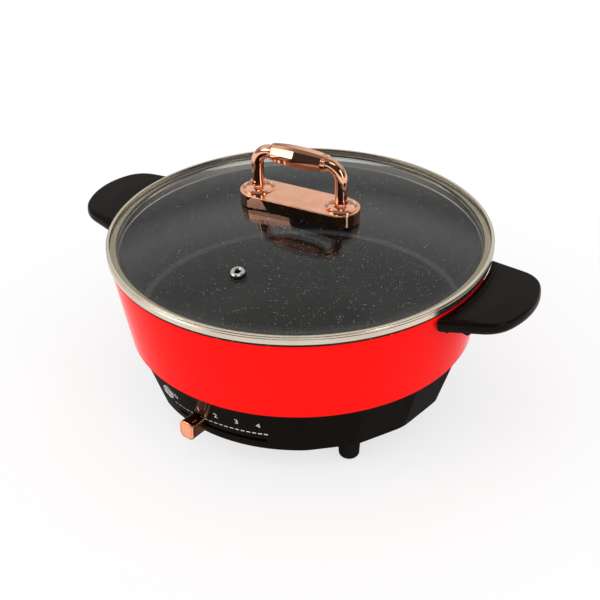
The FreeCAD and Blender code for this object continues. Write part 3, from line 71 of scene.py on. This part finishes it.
class Tree:                     # the nodes of a material or of the room
    def __init__(self, tree):
        self.tree = tree
        tree.nodes.clear()

    def node(self, kind, settings=None, values=None, out=0):   # settings first, then values and links
        made = self.tree.nodes.new(kind)
        for name, value in (settings or {}).items():
            if name == "stops":
                self.setStops(made.color_ramp, value)
            else:
                setattr(made, name, value)
        for name, value in (values or {}).items():
            self.feed(made.inputs[name], value)
        return Wire(self, made.outputs[out])

    def setStops(self, ramp, stops):
        while len(ramp.elements) < len(stops):
            ramp.elements.new(1.0)
        for element, (place, colour) in zip(ramp.elements, stops):
            element.position = place
            element.color = (*colour, 1.0)

    def feed(self, socket, value):             # link a wire, or set a number or a colour
        if isinstance(value, Wire):
            self.tree.links.new(value.socket, socket)
        elif hasattr(value, "__len__") and len(value) < len(socket.default_value):
            socket.default_value = (*value, 1.0)
        else:
            socket.default_value = value

    def maths(self, operation, *values):
        return self.node("ShaderNodeMath", {"operation": operation}, dict(enumerate(values)))

    def split(self, point):
        parts = self.node("ShaderNodeSeparateXYZ", {}, {0: point})
        return parts.out("X"), parts.out("Y"), parts.out("Z")

    def fromAxis(self, point):                 # distance from the pot's axis, root of x x + y y, and height
        x, y, z = self.split(point)
        return self.maths("SQRT", x * x + y * y), z

    def noise(self, point, scale, detail, rough=0.5):
        return self.node("ShaderNodeTexNoise", {}, {"Vector": point, "Scale": scale, "Detail": detail,
                                                    "Roughness": rough})

    def cloud(self, point, scale, detail, low, high):          # noise, 0 up to its level low, 1 from high on
        return self.fade(self.noise(point, scale, detail), low, high)

    def fade(self, value, low, high, outLow=0.0, outHigh=1.0, smooth=False):
        # outLow up to low, outHigh from high on, between them a straight line or a smooth step
        return self.node("ShaderNodeMapRange", {"interpolation_type": "SMOOTHSTEP" if smooth else "LINEAR"},
                         {0: value, 1: low, 2: high, 3: outLow, 4: outHigh})

    def tint(self, share, first, second):      # colour from first to second as share goes from 0 to 1
        return self.node("ShaderNodeMix", {"data_type": "RGBA"}, {0: share, 6: first, 7: second}, out=2)

    def bump(self, height, depth, strength):
        return self.node("ShaderNodeBump", {}, {"Height": height, "Distance": depth, "Strength": strength})

    def rayKinds(self):
        # seen is 1 for what the camera sees straight or through glass alone, glossy for what is mirrored, and
        # through for every ray that has passed the glass
        rays = self.node("ShaderNodeLightPath", out="Is Camera Ray")
        through = rays.out("Is Transmission Ray")
        mirrored = rays.out("Glossy Depth") > 0.5
        seen = rays + through * (1 - mirrored) * (rays.out("Diffuse Depth") < 0.5)
        glossy = self.maths("MAXIMUM", rays.out("Is Glossy Ray"), through * mirrored)
        return seen, glossy, through


class Finish(Tree):             # a material with one Principled shader
    def __init__(self, name, **fixed):
        self.material = bpy.data.materials.new(name)
        self.material.use_nodes = True
        super().__init__(self.material.node_tree)
        self.output = self.tree.nodes.new("ShaderNodeOutputMaterial")
        self.shader = self.tree.nodes.new("ShaderNodeBsdfPrincipled")
        self.tree.links.new(self.shader.outputs[0], self.output.inputs["Surface"])
        self.give(**fixed)

    def give(self, **inputs):   # link or set the shader's inputs
        for name, value in inputs.items():
            self.feed(self.shader.inputs[name.replace("_", " ")], value)
        return self.material

    def mixIn(self, share, other):             # the other shader takes this share of the surface
        both = self.node("ShaderNodeMixShader", {},
                         {0: share, 1: Wire(self, self.shader.outputs[0]), 2: other})
        self.tree.links.new(both.socket, self.output.inputs["Surface"])

    def here(self):             # the point on the piece, in metres
        return self.node("ShaderNodeTexCoord", out="Object")


# camera, lamps, room and floor

cameraView = {
    "place": (0.47710, -0.79247, 0.66489),   # metres
    "turn": (57.9387, 0.9667, 30.5156),      # degrees about X, Y and Z
    "lens": 75.0, "sensor": 36.0,            # mm
    "nearest": 0.01,                         # metres; what is nearer isn't drawn
}

# place, aim (height of the point on the axis it looks at) and size in metres, and how bright its face is
lampSet = {
    "keySoftbox": {"place": (-1.13, -1.22, 1.06), "aim": 0.15, "size": (0.80, 0.95), "bright": 3.3},
    "sideSoftbox": {"place": (1.75, -0.55, 0.75), "aim": 0.12, "size": (0.30, 1.2), "bright": 5.6},
    "topSoftbox": {"place": (0.35, -0.75, 1.85), "aim": 0.15, "size": (0.9, 0.5), "bright": 2.2},
}

# the room, by the direction it is seen in, whose three parts make a length of 1
roomLook = {
    "sky": 0.84,                # light that it gives to dull pieces from all round
    "underGlass": 0.6,          # share of that light that the glass keeps from what lies under it
    "front": 0.05,              # what metal and glass mirror of its front, past the softboxes
    "back": 0.92,               # and of its back
    "backWay": (-0.5, 0.86),    # the way to the back, over the floor
    "backEdge": (-0.35, 0.25),  # the back begins softly between these, measured that way
    "horizon": 0.30, "horizonEdge": (0.26, 0.52),    # share of the back's light that is left low down
    "high": 0.90, "highEdge": (0.54, 0.72),          # and high up
    "top": 0.20, "topEdge": (0.80, 0.90),            # what they mirror straight overhead
}

# distances are from the pot's axis
floorLook = {
    "size": 12.0,
    "colour": (0.93, 0.93, 0.93),
    "rough": 0.9,
    "glow": 0.72,               # share of its white beside the pot that no shadow takes away
    "glowEdge": (0.19, 0.46),   # it grows to plain white between these distances
    "mirrorShadow": 0.08,         # painted shadow: what polished pieces mirror of it under the pan's overhang
    "mirrorEdge": (0.166, 0.182),            # they mirror it white from the second distance on
}


def makeCamera():
    # placed and turned as given, everything sharp
    lens = bpy.data.cameras.new("camera")
    lens.lens = cameraView["lens"]
    lens.sensor_width = cameraView["sensor"]
    lens.clip_start = cameraView["nearest"]
    eye = bpy.data.objects.new("camera", lens)
    eye.location = cameraView["place"]
    eye.rotation_euler = Euler([math.radians(angle) for angle in cameraView["turn"]])
    bpy.context.scene.collection.objects.link(eye)
    bpy.context.scene.camera = eye


def makeLamps():
    # each lamp looks at its aim point on the axis; its power is its brightness times pi times its area
    for name, want in lampSet.items():
        lamp = bpy.data.lights.new(name, "AREA")
        lamp.shape = "RECTANGLE"
        lamp.size, lamp.size_y = want["size"]
        lamp.energy = want["bright"] * math.pi * lamp.size * lamp.size_y
        box = bpy.data.objects.new(name, lamp)
        x, y, z = want["place"]
        box.location = want["place"]
        box.rotation_euler = (math.atan2(math.hypot(x, y), z - want["aim"]), 0, math.atan2(x, -y))
        box.visible_camera = False
        box.visible_transmission = False      # light comes through the glass as plain light, counted once
        bpy.context.scene.collection.objects.link(box)


def makeRoom():
    # mirrored = front + behind (back - front) + overhead top, where behind grows from the front to the back,
    # from the horizon up and again high up, and ends overhead; the camera sees plain white
    sky = bpy.data.worlds.new("studioSky")
    sky.use_nodes = True
    bpy.context.scene.world = sky
    room = Tree(sky.node_tree)
    x, y, z = room.split(room.node("ShaderNodeTexCoord", out="Generated"))
    wayX, wayY = roomLook["backWay"]
    overhead = room.fade(z, *roomLook["topEdge"], smooth=True)
    behind = room.fade(x * wayX + y * wayY, *roomLook["backEdge"], smooth=True) * (1 - overhead)
    behind = behind * room.fade(z, *roomLook["horizonEdge"], roomLook["horizon"], 1.0, smooth=True)
    behind = behind * room.fade(z, *roomLook["highEdge"], 1.0, roomLook["high"], smooth=True)
    front, back, top = roomLook["front"], roomLook["back"], roomLook["top"]
    mirrored = front + behind * (back - front) + overhead * top
    seen, glossy, through = room.rayKinds()
    lit = (1 - roomLook["underGlass"] * through) * roomLook["sky"]
    strength = seen + (1 - seen) * (glossy * mirrored + (1 - glossy) * lit)
    light = room.node("ShaderNodeBackground", {}, {"Color": (1.0, 1.0, 1.0), "Strength": strength})
    output = room.tree.nodes.new("ShaderNodeOutputWorld")
    room.tree.links.new(light.socket, output.inputs["Surface"])


def makeFloor():
    # the camera sees a mix of plain white and the lit paper, so the pot's shadow stays, and mirrors see only
    # the white, with a painted shadow beside the base
    half = floorLook["size"] / 2
    corners = [(-half, -half, 0), (half, -half, 0), (half, half, 0), (-half, half, 0)]
    mesh = bpy.data.meshes.new("floor")
    mesh.from_pydata(corners, [], [(0, 1, 2, 3)])
    floor = bpy.data.objects.new("floor", mesh)
    bpy.context.scene.collection.objects.link(floor)
    paper = Finish("floorPaper", Base_Color=floorLook["colour"], Roughness=floorLook["rough"],
                   Specular_IOR_Level=0.0)
    seen, glossy = paper.rayKinds()[:2]
    away = paper.fromAxis(paper.here())[0]
    shown = seen * paper.fade(away, *floorLook["glowEdge"], floorLook["glow"], 1.0, smooth=True)
    # painted shadow in what the mirrors see, dark under the overhang
    shade = paper.fade(away, *floorLook["mirrorEdge"], floorLook["mirrorShadow"], 1.0, smooth=True)
    glow = paper.node("ShaderNodeEmission", {},
                      {"Color": (1.0, 1.0, 1.0), "Strength": seen + (1 - seen) * shade})
    paper.mixIn(shown + (1 - seen) * glossy, glow)
    mesh.materials.append(paper.material)


makeCamera()
makeLamps()
makeRoom()
makeFloor()
bpy.context.scene.view_settings.view_transform = "Standard"
print("stage: camera, %d softboxes, room and floor" % len(lampSet))


# finishes; a noise is its patches per metre and its detail, and a cloud adds the levels that give 0 and 1

panLook = {
    "red": (0.98, 0.0085, 0.0060),
    "redDeep": (0.93, 0.0065, 0.0050),
    "redCloud": (9.0, 2.0, 0.3, 0.7),
    "redRough": 0.13,
    "redPeel": (260.0, 2.0), "peelDepth": 0.000006, "peelStrength": 0.35,
    "index": 1.09, "coatIndex": 1.22, "coatRough": 0.25,
    "coating": (0.0115, 0.0106, 0.0096),
    "coatingPale": (0.0185, 0.0172, 0.0158),
    "coatingCloud": (30.0, 4.0, 0.3, 0.7),
    "coatingGrain": (900.0, 2.0),
    "coatingDull": 0.25, "grainDull": 0.10,  # how much rougher than the enamel
    "fleck": (0.78, 0.78, 0.80),
    "fleckPitch": 0.0026,       # one fleck at most in each cell of this size
    "fleckShare": 0.50,         # share of the cells that hold one
    "fleckSize": (0.13, 0.21),  # its full middle and its soft edge, as shares of a cell
    "faintest": 0.10,           # strength of the palest fleck
    "wallFleck": 0.5,           # strength of all of them on the wall, from wallFleckFrom up
    "wallFleckFrom": 0.0900,
    "paintedHighlight": (0.085, 0.090, 0.098),           # painted highlight: the rounding round the floor painted paler, where it would catch the overhead light
    "paintedHighlightFrom": 0.1388, "paintedHighlightTo": 0.1458, "paintedHighlightTop": 0.0800, "paintedHighlightEdge": 0.0025,
    "darkRim": 0.1455,          # the enamel ends at this level and the rim above it is black
    "floorMiddle": 0.0715,      # halfway through the floor of the pan
    "wallFoot": 0.1473,         # middle of the wall at that level
    "wallSlope": 0.1673,        # how much it widens with height
    "bare": (0.55, 0.55, 0.56),              # turned metal under the floor
    "bareTop": 0.0702, "bareRadius": 0.1440, "bareDull": 0.2,
}


def makePanEnamel():
    # inside is 1 above the floor's middle and nearer to the axis than the middle of the wall, which is at
    # wallFoot + (height - floorMiddle) wallSlope
    look = Finish("panEnamel", IOR=panLook["index"], Coat_Roughness=panLook["coatRough"],
                  Coat_IOR=panLook["coatIndex"])
    here = look.here()
    radius, z = look.fromAxis(here)
    wallMiddle = panLook["wallFoot"] + (z - panLook["floorMiddle"]) * panLook["wallSlope"]
    inside = (radius < wallMiddle) * (z > panLook["floorMiddle"])
    under = (z < panLook["bareTop"]) * (radius < panLook["bareRadius"])
    red = look.tint(look.cloud(here, *panLook["redCloud"]), panLook["redDeep"], panLook["red"])
    patches = look.cloud(here, *panLook["coatingCloud"])
    coating = look.tint(patches, panLook["coating"], panLook["coatingPale"])
    # the rounding at the foot of the wall takes a painted highlight
    coating = look.tint(panPaintedHighlight(look, radius, z), coating, panLook["paintedHighlight"])
    coating = look.tint(panFlecks(look, here, z), coating, panLook["fleck"])
    black = look.maths("MAXIMUM", inside, z > panLook["darkRim"])
    colour = look.tint(under, look.tint(black, red, coating), panLook["bare"])
    dull = panLook["coatingDull"] + panLook["grainDull"] * look.noise(here, *panLook["coatingGrain"])
    peel = look.noise(here, *panLook["redPeel"]) * (1 - inside)
    return look.give(Base_Color=colour, Coat_Weight=inside, Metallic=under,
                     Roughness=panLook["redRough"] + inside * dull + under * panLook["bareDull"],
                     Normal=look.bump(peel, panLook["peelDepth"], panLook["peelStrength"]))


def panFlecks(look, here, z):
    # a cell of the Voronoi pattern has a fleck at its point where the cell's first random number is low; its
    # second one sets the strength
    cells = look.node("ShaderNodeTexVoronoi", {"feature": "F1"},
                      {"Vector": here, "Scale": 1 / panLook["fleckPitch"], "Randomness": 1.0})
    first, second = look.split(cells.out("Color"))[:2]
    spot = look.fade(cells.out("Distance"), *panLook["fleckSize"], 1.0, 0.0) * (first < panLook["fleckShare"])
    spot = spot * look.fade(second, 0.0, 1.0, panLook["faintest"], 1.0)
    return spot * look.fade(z, panLook["paintedHighlightTop"], panLook["wallFleckFrom"], 1.0, panLook["wallFleck"])


def panPaintedHighlight(look, radius, z):
    # a painted highlight: a soft band between two distances from the axis, low on the wall
    begin, end, edge = panLook["paintedHighlightFrom"], panLook["paintedHighlightTo"], panLook["paintedHighlightEdge"]
    highlightBand = look.fade(radius, begin, begin + edge, smooth=True)
    highlightBand = highlightBand * look.fade(radius, end - edge, end, 1.0, 0.0, smooth=True)
    return highlightBand * (z < panLook["paintedHighlightTop"])


copperLook = {
    "copperPlating": {"light": (0.93, 0.505, 0.335), "deep": (0.86, 0.42, 0.26)},
    "copperPlate": {"light": (0.93, 0.505, 0.335), "deep": (0.86, 0.42, 0.26), "satinFrom": 0.1864},
    "copperKnob": {"light": (0.97, 0.43, 0.235), "deep": (0.92, 0.37, 0.19)},
}
copperPolish = {
    "rough": 0.015, "satinRough": 0.15,      # satin from the level satinFrom up, where a finish has one
    "cloud": (60.0, 3.0, 0.35, 0.65), "cloudDull": 0.015,
    "fine": (1400.0, 2.0), "fineDull": 0.01,
    "wave": (220.0, 2.0), "waveDepth": 0.00003, "waveStrength": 0.08,
}


def makeCopper(name):
    # plated and polished, with faint waviness and a few dull patches
    look = Finish(name, Metallic=1.0)
    want, polish = copperLook[name], copperPolish
    here = look.here()
    rough = polish["rough"]
    if "satinFrom" in want:
        rough = rough + (look.split(here)[2] > want["satinFrom"]) * (polish["satinRough"] - rough)
    cloud = look.cloud(here, *polish["cloud"])
    fine = look.noise(here, *polish["fine"])
    wave = look.noise(here, *polish["wave"])
    return look.give(Base_Color=look.tint(cloud, want["deep"], want["light"]),
                     Roughness=rough + polish["cloudDull"] * cloud + polish["fineDull"] * fine,
                     Normal=look.bump(wave, polish["waveDepth"], polish["waveStrength"]))


ringLook = {
    "light": (0.77, 0.68, 0.56),
    "deep": (0.64, 0.55, 0.43),
    "cloud": (25.0, 3.0, 0.3, 0.7), "cloudShare": 0.75,
    "lines": 2600.0, "lineTurn": 3.0,        # lines per metre across the band, and changes of one per radian
    "lineDetail": 2.0, "lineShare": 0.25,
    "lineDull": 0.10, "lineDepth": 0.00004, "lineStrength": 0.3,
    "rough": 0.20,
}


def makeRingSteel():
    # drawn through rollers: 2D noise of (distance from the axis + height) and of the angle round it, so
    # fine lines run round the ring
    look = Finish("ringSteel", Metallic=1.0)
    here = look.here()
    x, y, height = look.split(here)
    radius = look.fromAxis(here)[0]
    angle = look.maths("ARCTAN2", y, x)
    place = look.node("ShaderNodeCombineXYZ", {}, {"X": (radius + height) * ringLook["lines"],
                                                   "Y": angle * ringLook["lineTurn"]})
    lines = look.node("ShaderNodeTexNoise", {"noise_dimensions": "2D"},
                      {"Vector": place, "Scale": 1.0, "Detail": ringLook["lineDetail"]})
    share = ringLook["lineShare"] * lines + ringLook["cloudShare"] * look.cloud(here, *ringLook["cloud"])
    return look.give(Base_Color=look.tint(share, ringLook["deep"], ringLook["light"]),
                     Roughness=ringLook["rough"] + ringLook["lineDull"] * lines,
                     Normal=look.bump(lines, ringLook["lineDepth"], ringLook["lineStrength"]))


glassLook = {
    "tint": (0.955, 0.965, 0.950),
    "filmTint": (0.93, 0.94, 0.925),         # a trace of a film, in patches
    "film": (14.0, 4.0, 0.45, 0.8), "filmDull": 0.008,
    "edgeTint": (0.68, 0.67, 0.60), "edge": (0.1500, 0.1530),    # its rim, between these distances
    "shade": (0.93, 0.935, 0.93),            # of the light that it lets through
    "index": 1.27,
    "rough": 0.004,
}


def makeLidGlass():
    # glass to the eye, but light passes it as through a pale filter
    look = Finish("lidGlass", Transmission_Weight=1.0, IOR=glassLook["index"])
    here = look.here()
    pane = look.node("ShaderNodeBsdfTransparent", {}, {"Color": glassLook["shade"]})
    look.mixIn(look.node("ShaderNodeLightPath", out="Is Shadow Ray"), pane)
    film = look.cloud(here, *glassLook["film"])
    rim = look.fade(look.fromAxis(here)[0], *glassLook["edge"], smooth=True)
    colour = look.tint(rim, look.tint(film, glassLook["tint"], glassLook["filmTint"]), glassLook["edgeTint"])
    return look.give(Base_Color=colour, Roughness=glassLook["rough"] + glassLook["filmDull"] * film)


metalLook = {       # colour, its darker patches, roughness
    "brightSteel": ((0.74, 0.74, 0.73), (0.58, 0.58, 0.57), 0.22),
    "badgeMetal": ((0.86, 0.84, 0.80), (0.76, 0.74, 0.70), 0.34),
    "eyeletMetal": ((0.60, 0.57, 0.51), (0.50, 0.47, 0.42), 0.16),
    "fuseMetal": ((0.70, 0.66, 0.56), (0.58, 0.54, 0.44), 0.28),
    "contactBrass": ((0.80, 0.66, 0.36), (0.66, 0.52, 0.26), 0.24),
}
metalGrain = {
    "cloud": (80.0, 4.0, 0.3, 0.7), "cloudDull": 0.08,
    "fine": (1600.0, 2.0), "fineDull": 0.05, "fineDepth": 0.00004, "fineStrength": 0.25,
}


def makeMetal(name):
    # colour from deep to light by the cloud, roughness up with cloud and grain, fine grain as relief
    light, deep, rough = metalLook[name]
    look = Finish(name, Metallic=1.0)
    here = look.here()
    cloud = look.cloud(here, *metalGrain["cloud"])
    fine = look.noise(here, *metalGrain["fine"])
    return look.give(Base_Color=look.tint(cloud, deep, light),
                     Roughness=rough + metalGrain["cloudDull"] * cloud + metalGrain["fineDull"] * fine,
                     Normal=look.bump(fine, metalGrain["fineDepth"], metalGrain["fineStrength"]))


plasticLook = {     # colour, its darker patches, roughness, index of its gloss, grains per metre, grain depth
    "basePlastic": ((0.0075, 0.0048, 0.0028), (0.0052, 0.0034, 0.0020), 0.08, 1.30, 700.0, 0.00001),
    "handleBakelite": ((0.0062, 0.0032, 0.0016), (0.0044, 0.0024, 0.0012), 0.26, 1.16, 1500.0, 0.00003),
    "coverPlastic": ((0.020, 0.020, 0.020), (0.012, 0.012, 0.012), 0.55, 1.13, 1800.0, 0.00010),
    "footPlastic": ((0.016, 0.014, 0.013), (0.010, 0.009, 0.009), 0.34, 1.13, 1500.0, 0.00006),
    "inletPlastic": ((0.018, 0.018, 0.018), (0.011, 0.011, 0.011), 0.45, 1.13, 1500.0, 0.00008),
    "blackSteel": ((0.014, 0.013, 0.012), (0.008, 0.008, 0.007), 0.42, 1.13, 1200.0, 0.00005),
    "ventRubber": ((0.014, 0.014, 0.013), (0.008, 0.008, 0.008), 0.50, 1.13, 1600.0, 0.00008),
    "gasketRubber": ((0.018, 0.018, 0.018), (0.010, 0.010, 0.010), 0.60, 1.13, 1600.0, 0.00010),
    "padRubber": ((0.045, 0.044, 0.042), (0.030, 0.029, 0.028), 0.80, 1.13, 1400.0, 0.00015),
}
plasticGrain = {
    "cloud": (22.0, 3.0, 0.35, 0.65), "cloudDull": 0.05,
    "detail": 2.0, "fineDull": 0.06, "fineStrength": 0.35,
}


def makePlastic(name):
    # moulded: colour from deep to light by the cloud, roughness up with cloud and grain, grain as relief
    light, deep, rough, index, grains, depth = plasticLook[name]
    look = Finish(name, IOR=index)
    here = look.here()
    cloud = look.cloud(here, *plasticGrain["cloud"])
    fine = look.noise(here, grains, plasticGrain["detail"])
    return look.give(Base_Color=look.tint(cloud, deep, light),
                     Roughness=rough + plasticGrain["cloudDull"] * cloud + plasticGrain["fineDull"] * fine,
                     Normal=look.bump(fine, depth, plasticGrain["fineStrength"]))


castLook = {
    "light": (0.66, 0.66, 0.65),
    "deep": (0.50, 0.50, 0.50),
    "cloud": (40.0, 4.0, 0.3, 0.7),
    "pits": (700.0, 5.0, 0.65),              # the last one is how much of it is fine detail
    "pitDull": 0.2, "pitDepth": 0.00020, "pitStrength": 0.5,
    "rough": 0.38,
}


def makeCastAluminium():
    # as cast: pits are duller and deeper than the rest
    look = Finish("castAluminium", Metallic=1.0)
    here = look.here()
    pits = look.noise(here, *castLook["pits"])
    cloud = look.cloud(here, *castLook["cloud"])
    return look.give(Base_Color=look.tint(cloud, castLook["deep"], castLook["light"]),
                     Roughness=castLook["rough"] + castLook["pitDull"] * pits,
                     Normal=look.bump(pits, castLook["pitDepth"], castLook["pitStrength"]))


elementLook = {
    "heat": [(0.30, (0.10, 0.085, 0.075)), (0.50, (0.17, 0.12, 0.085)), (0.70, (0.085, 0.085, 0.11))],
    "heatNoise": (45.0, 4.0),
    "fine": (500.0, 3.0), "fineDull": 0.15,
    "rough": 0.42, "metal": 0.9,
}


def makeElementSteel():
    # steel tube, brown and blue from the heat
    look = Finish("elementSteel", Metallic=elementLook["metal"])
    here = look.here()
    heat = look.node("ShaderNodeValToRGB", {"stops": elementLook["heat"]},
                     {0: look.noise(here, *elementLook["heatNoise"])})
    fine = look.noise(here, *elementLook["fine"])
    return look.give(Base_Color=heat, Roughness=elementLook["rough"] + elementLook["fineDull"] * fine)


shieldLook = {
    "light": (0.72, 0.73, 0.74),
    "deep": (0.50, 0.51, 0.53),
    "crystals": 110.0,          # per metre
    "rough": 0.25, "crystalDull": 0.2,
}


def makeShieldSteel():
    # zinc-coated sheet: each crystal of the coating has its own shade
    look = Finish("shieldSteel", Metallic=1.0)
    crystals = look.node("ShaderNodeTexVoronoi", {"feature": "F1"},
                         {"Vector": look.here(), "Scale": shieldLook["crystals"]})
    shade = look.split(crystals.out("Color"))[0]
    return look.give(Base_Color=look.tint(shade, shieldLook["deep"], shieldLook["light"]),
                     Roughness=shieldLook["rough"] + shieldLook["crystalDull"] * shade)


ceramicLook = {
    "light": (0.80, 0.77, 0.70),
    "deep": (0.66, 0.62, 0.54),
    "cloud": (90.0, 3.0, 0.3, 0.7),
    "grain": (1100.0, 4.0), "grainDull": 0.2, "grainDepth": 0.00008, "grainStrength": 0.4,
    "rough": 0.5, "gloss": 0.4,
}


def makeCeramic():
    # unglazed: a fine grain in patches of two shades
    look = Finish("ceramic", Specular_IOR_Level=ceramicLook["gloss"])
    here = look.here()
    grain = look.noise(here, *ceramicLook["grain"])
    cloud = look.cloud(here, *ceramicLook["cloud"])
    return look.give(Base_Color=look.tint(cloud, ceramicLook["deep"], ceramicLook["light"]),
                     Roughness=ceramicLook["rough"] + ceramicLook["grainDull"] * grain,
                     Normal=look.bump(grain, ceramicLook["grainDepth"], ceramicLook["grainStrength"]))


printLook = {
    "ink": (0.78, 0.76, 0.72),
    "rubbed": (0.62, 0.60, 0.56),
    "wear": (1500.0, 3.0, 0.35, 0.75), "wearDull": 0.1,
    "rough": 0.42, "gloss": 0.3,
}


def makePrint():
    # ink from full to rubbed by the wear, which also dulls it
    look = Finish("scalePrint", Specular_IOR_Level=printLook["gloss"])
    wear = look.cloud(look.here(), *printLook["wear"])
    return look.give(Base_Color=look.tint(wear, printLook["ink"], printLook["rubbed"]),
                     Roughness=printLook["rough"] + printLook["wearDull"] * wear)


finishes = {
    "panEnamel": makePanEnamel(),
    "ringSteel": makeRingSteel(),
    "lidGlass": makeLidGlass(),
    "castAluminium": makeCastAluminium(),
    "elementSteel": makeElementSteel(),
    "shieldSteel": makeShieldSteel(),
    "ceramic": makeCeramic(),
    "scalePrint": makePrint(),
    **{name: makeCopper(name) for name in copperLook},
    **{name: makeMetal(name) for name in metalLook},
    **{name: makePlastic(name) for name in plasticLook},
}

wearing = {
    "panEnamel": ["pan"],
    "copperPlating": ["lid_handle_rosette_left", "lid_handle_rosette_right", "lid_handle_bail",
                      "lid_handle_grip", "lid_handle_bead_left", "lid_handle_bead_right",
                      "lid_handle_bead_right_outer"],
    "copperPlate": ["lid_handle_plate"],
    "copperKnob": ["lever_knob"],
    "ringSteel": ["lid_ring"],
    "lidGlass": ["lid_glass"],
    "eyeletMetal": ["lid_vent_eyelet"],
    "brightSteel": ["lid_handle_screws", "lid_handle_washers", "foot_screws", "pan_screws", "lever_arm",
                    "lever_spacer", "thermostat_bracket", "thermostat_spindle"],
    "blackSteel": ["handle_bracket_left", "handle_bracket_right", "handle_screws"],
    "badgeMetal": ["badge"],
    "fuseMetal": ["thermal_fuse", "sensor_cap"],
    "contactBrass": ["inlet_pins"],
    "castAluminium": ["heater_plate"],
    "elementSteel": ["heating_element"],
    "shieldSteel": ["heat_shield"],
    "ceramic": ["thermostat_block", "terminal_block"],
    "basePlastic": ["base_housing"],
    "handleBakelite": ["side_handle_left", "side_handle_right"],
    "coverPlastic": ["base_cover"],
    "footPlastic": ["foot_front_left", "foot_front_right", "foot_back_left", "foot_back_right"],
    "inletPlastic": ["power_inlet"],
    "ventRubber": ["lid_vent_grommet"],
    "gasketRubber": ["lid_handle_gasket"],
    "padRubber": ["foot_pads"],
}


def dressNodes():
    # every material slot of a node takes the finish whose list names the node
    for finish, names in wearing.items():
        for name in names:
            mesh = nodes[name].data
            if not mesh.materials:
                mesh.materials.append(None)
            for index in range(len(mesh.materials)):
                mesh.materials[index] = finishes[finish]
    dressed = {name for names in wearing.values() for name in names}
    print("finishes: %d, nodes without one: %s" % (len(finishes), sorted(set(nodes) - dressed)))


dressNodes()


# the printed scale, on the base's wall above the lever's slot

baseWall = {"low": 0.0234, "lowRadius": 0.1315, "high": 0.0693, "highRadius": 0.1465}

scaleLook = {
    "from": -19.5, "to": 19.4,      # degrees, the front at 0 and the right side positive
    "dashes": 19,
    "dashShare": 0.66,              # share of its pitch that a dash fills
    "dashRings": 5,                 # cross-sections along a dash
    "level": 0.0437,
    "thin": 0.0005, "thick": 0.0013,         # of the first dash and the last
    "proud": 0.00006, "sunk": 0.00004,
    "figures": [("0", -16.4), ("1", -6.0), ("2", 1.0), ("3", 8.7), ("4", 16.2)],
    "figureLevel": 0.0540,
    "figureSize": 0.0080,
    "figureHeight": 0.945,          # height on the sloping wall for one of the type
    "figureCurve": 6,               # steps in each curve of the type
}


def wallRadius(level):
    # a straight line through the wall's two levels
    slope = (baseWall["highRadius"] - baseWall["lowRadius"]) / (baseWall["high"] - baseWall["low"])
    return baseWall["lowRadius"] + (level - baseWall["low"]) * slope


def onWall(across, level, out):
    # the point at angle across from the front and at that level, out metres off the sloping wall
    radius = wallRadius(level) + out
    return np.stack([radius * np.sin(across), -radius * np.cos(across), level + 0 * across], -1)


def printPiece(name, mesh):
    # ink on the base, so it rides on the pot
    mesh.materials.clear()
    mesh.materials.append(finishes["scalePrint"])
    piece = bpy.data.objects.new(name, mesh)
    bpy.context.scene.collection.objects.link(piece)
    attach(piece, "pot")


def makeDashes():
    # a dash is a bar bent round the wall: rings of four corners at even angles, half its thickness below and
    # above the level and sunk in or proud of the wall; the thickness grows evenly with the angle. A ring's
    # corners are sunk low, proud low, proud high and sunk high, and the next ring's are four more
    look = scaleLook
    count, rings = look["dashes"], look["dashRings"]
    pitch = math.radians(look["to"] - look["from"]) / count
    middle = math.radians(look["from"]) + pitch * (np.arange(count) + 0.5)
    across = middle[:, None] + np.linspace(-0.5, 0.5, rings) * pitch * look["dashShare"]
    grown = (across - across.min()) / (across.max() - across.min())
    half = (look["thin"] + (look["thick"] - look["thin"]) * grown) / 2
    level = look["level"] + half[..., None] * np.array([-1, -1, 1, 1])
    out = np.array([-look["sunk"], look["proud"], look["proud"], -look["sunk"]])
    points = onWall(across[..., None], level, out).reshape(-1, 3)

    side = np.array([(0, 4, 5, 1), (1, 5, 6, 2), (3, 2, 6, 7), (0, 3, 7, 4)])   # lower, outer, upper, inner
    sides = (4 * np.arange(rings - 1)[:, None, None] + side).reshape(-1, 4)
    ends = np.array([(0, 1, 2, 3), (0, 3, 2, 1)]) + 4 * (rings - 1) * np.array([[0], [1]])
    bar = np.concatenate([sides, ends])
    faces = (4 * rings * np.arange(count)[:, None, None] + bar).reshape(-1, 4)
    mesh = bpy.data.meshes.new("scale_dashes")
    mesh.from_pydata(points.tolist(), [], faces.tolist())
    mesh.validate()
    printPiece("scale_dashes", mesh)


def makeFigure(number, angle):
    # type outlines turned to a mesh and wrapped on the wall: along the type is an angle, up it is a level
    look = scaleLook
    text = bpy.data.curves.new("figure", "FONT")
    text.body = number
    text.size = look["figureSize"]
    text.align_x = "CENTER"
    text.align_y = "CENTER"
    text.extrude = (look["proud"] + look["sunk"]) / 2
    text.resolution_u = look["figureCurve"]
    loose = bpy.data.objects.new("figure", text)
    bpy.context.scene.collection.objects.link(loose)
    mesh = bpy.data.meshes.new_from_object(loose)
    bpy.data.objects.remove(loose)
    flat = np.empty(len(mesh.vertices) * 3, np.float32)
    mesh.vertices.foreach_get("co", flat)
    along, up, off = flat.reshape(-1, 3).astype(float).T
    across = math.radians(angle) + along / wallRadius(look["figureLevel"])
    level = look["figureLevel"] + up * look["figureHeight"]
    bent = onWall(across, level, off + (look["proud"] - look["sunk"]) / 2)
    mesh.vertices.foreach_set("co", bent.astype(np.float32).ravel())
    printPiece("scale_figure_" + number, mesh)


makeDashes()
for number, angle in scaleLook["figures"]:
    makeFigure(number, angle)
print("scale: %d dashes and %d figures" % (scaleLook["dashes"], len(scaleLook["figures"])))
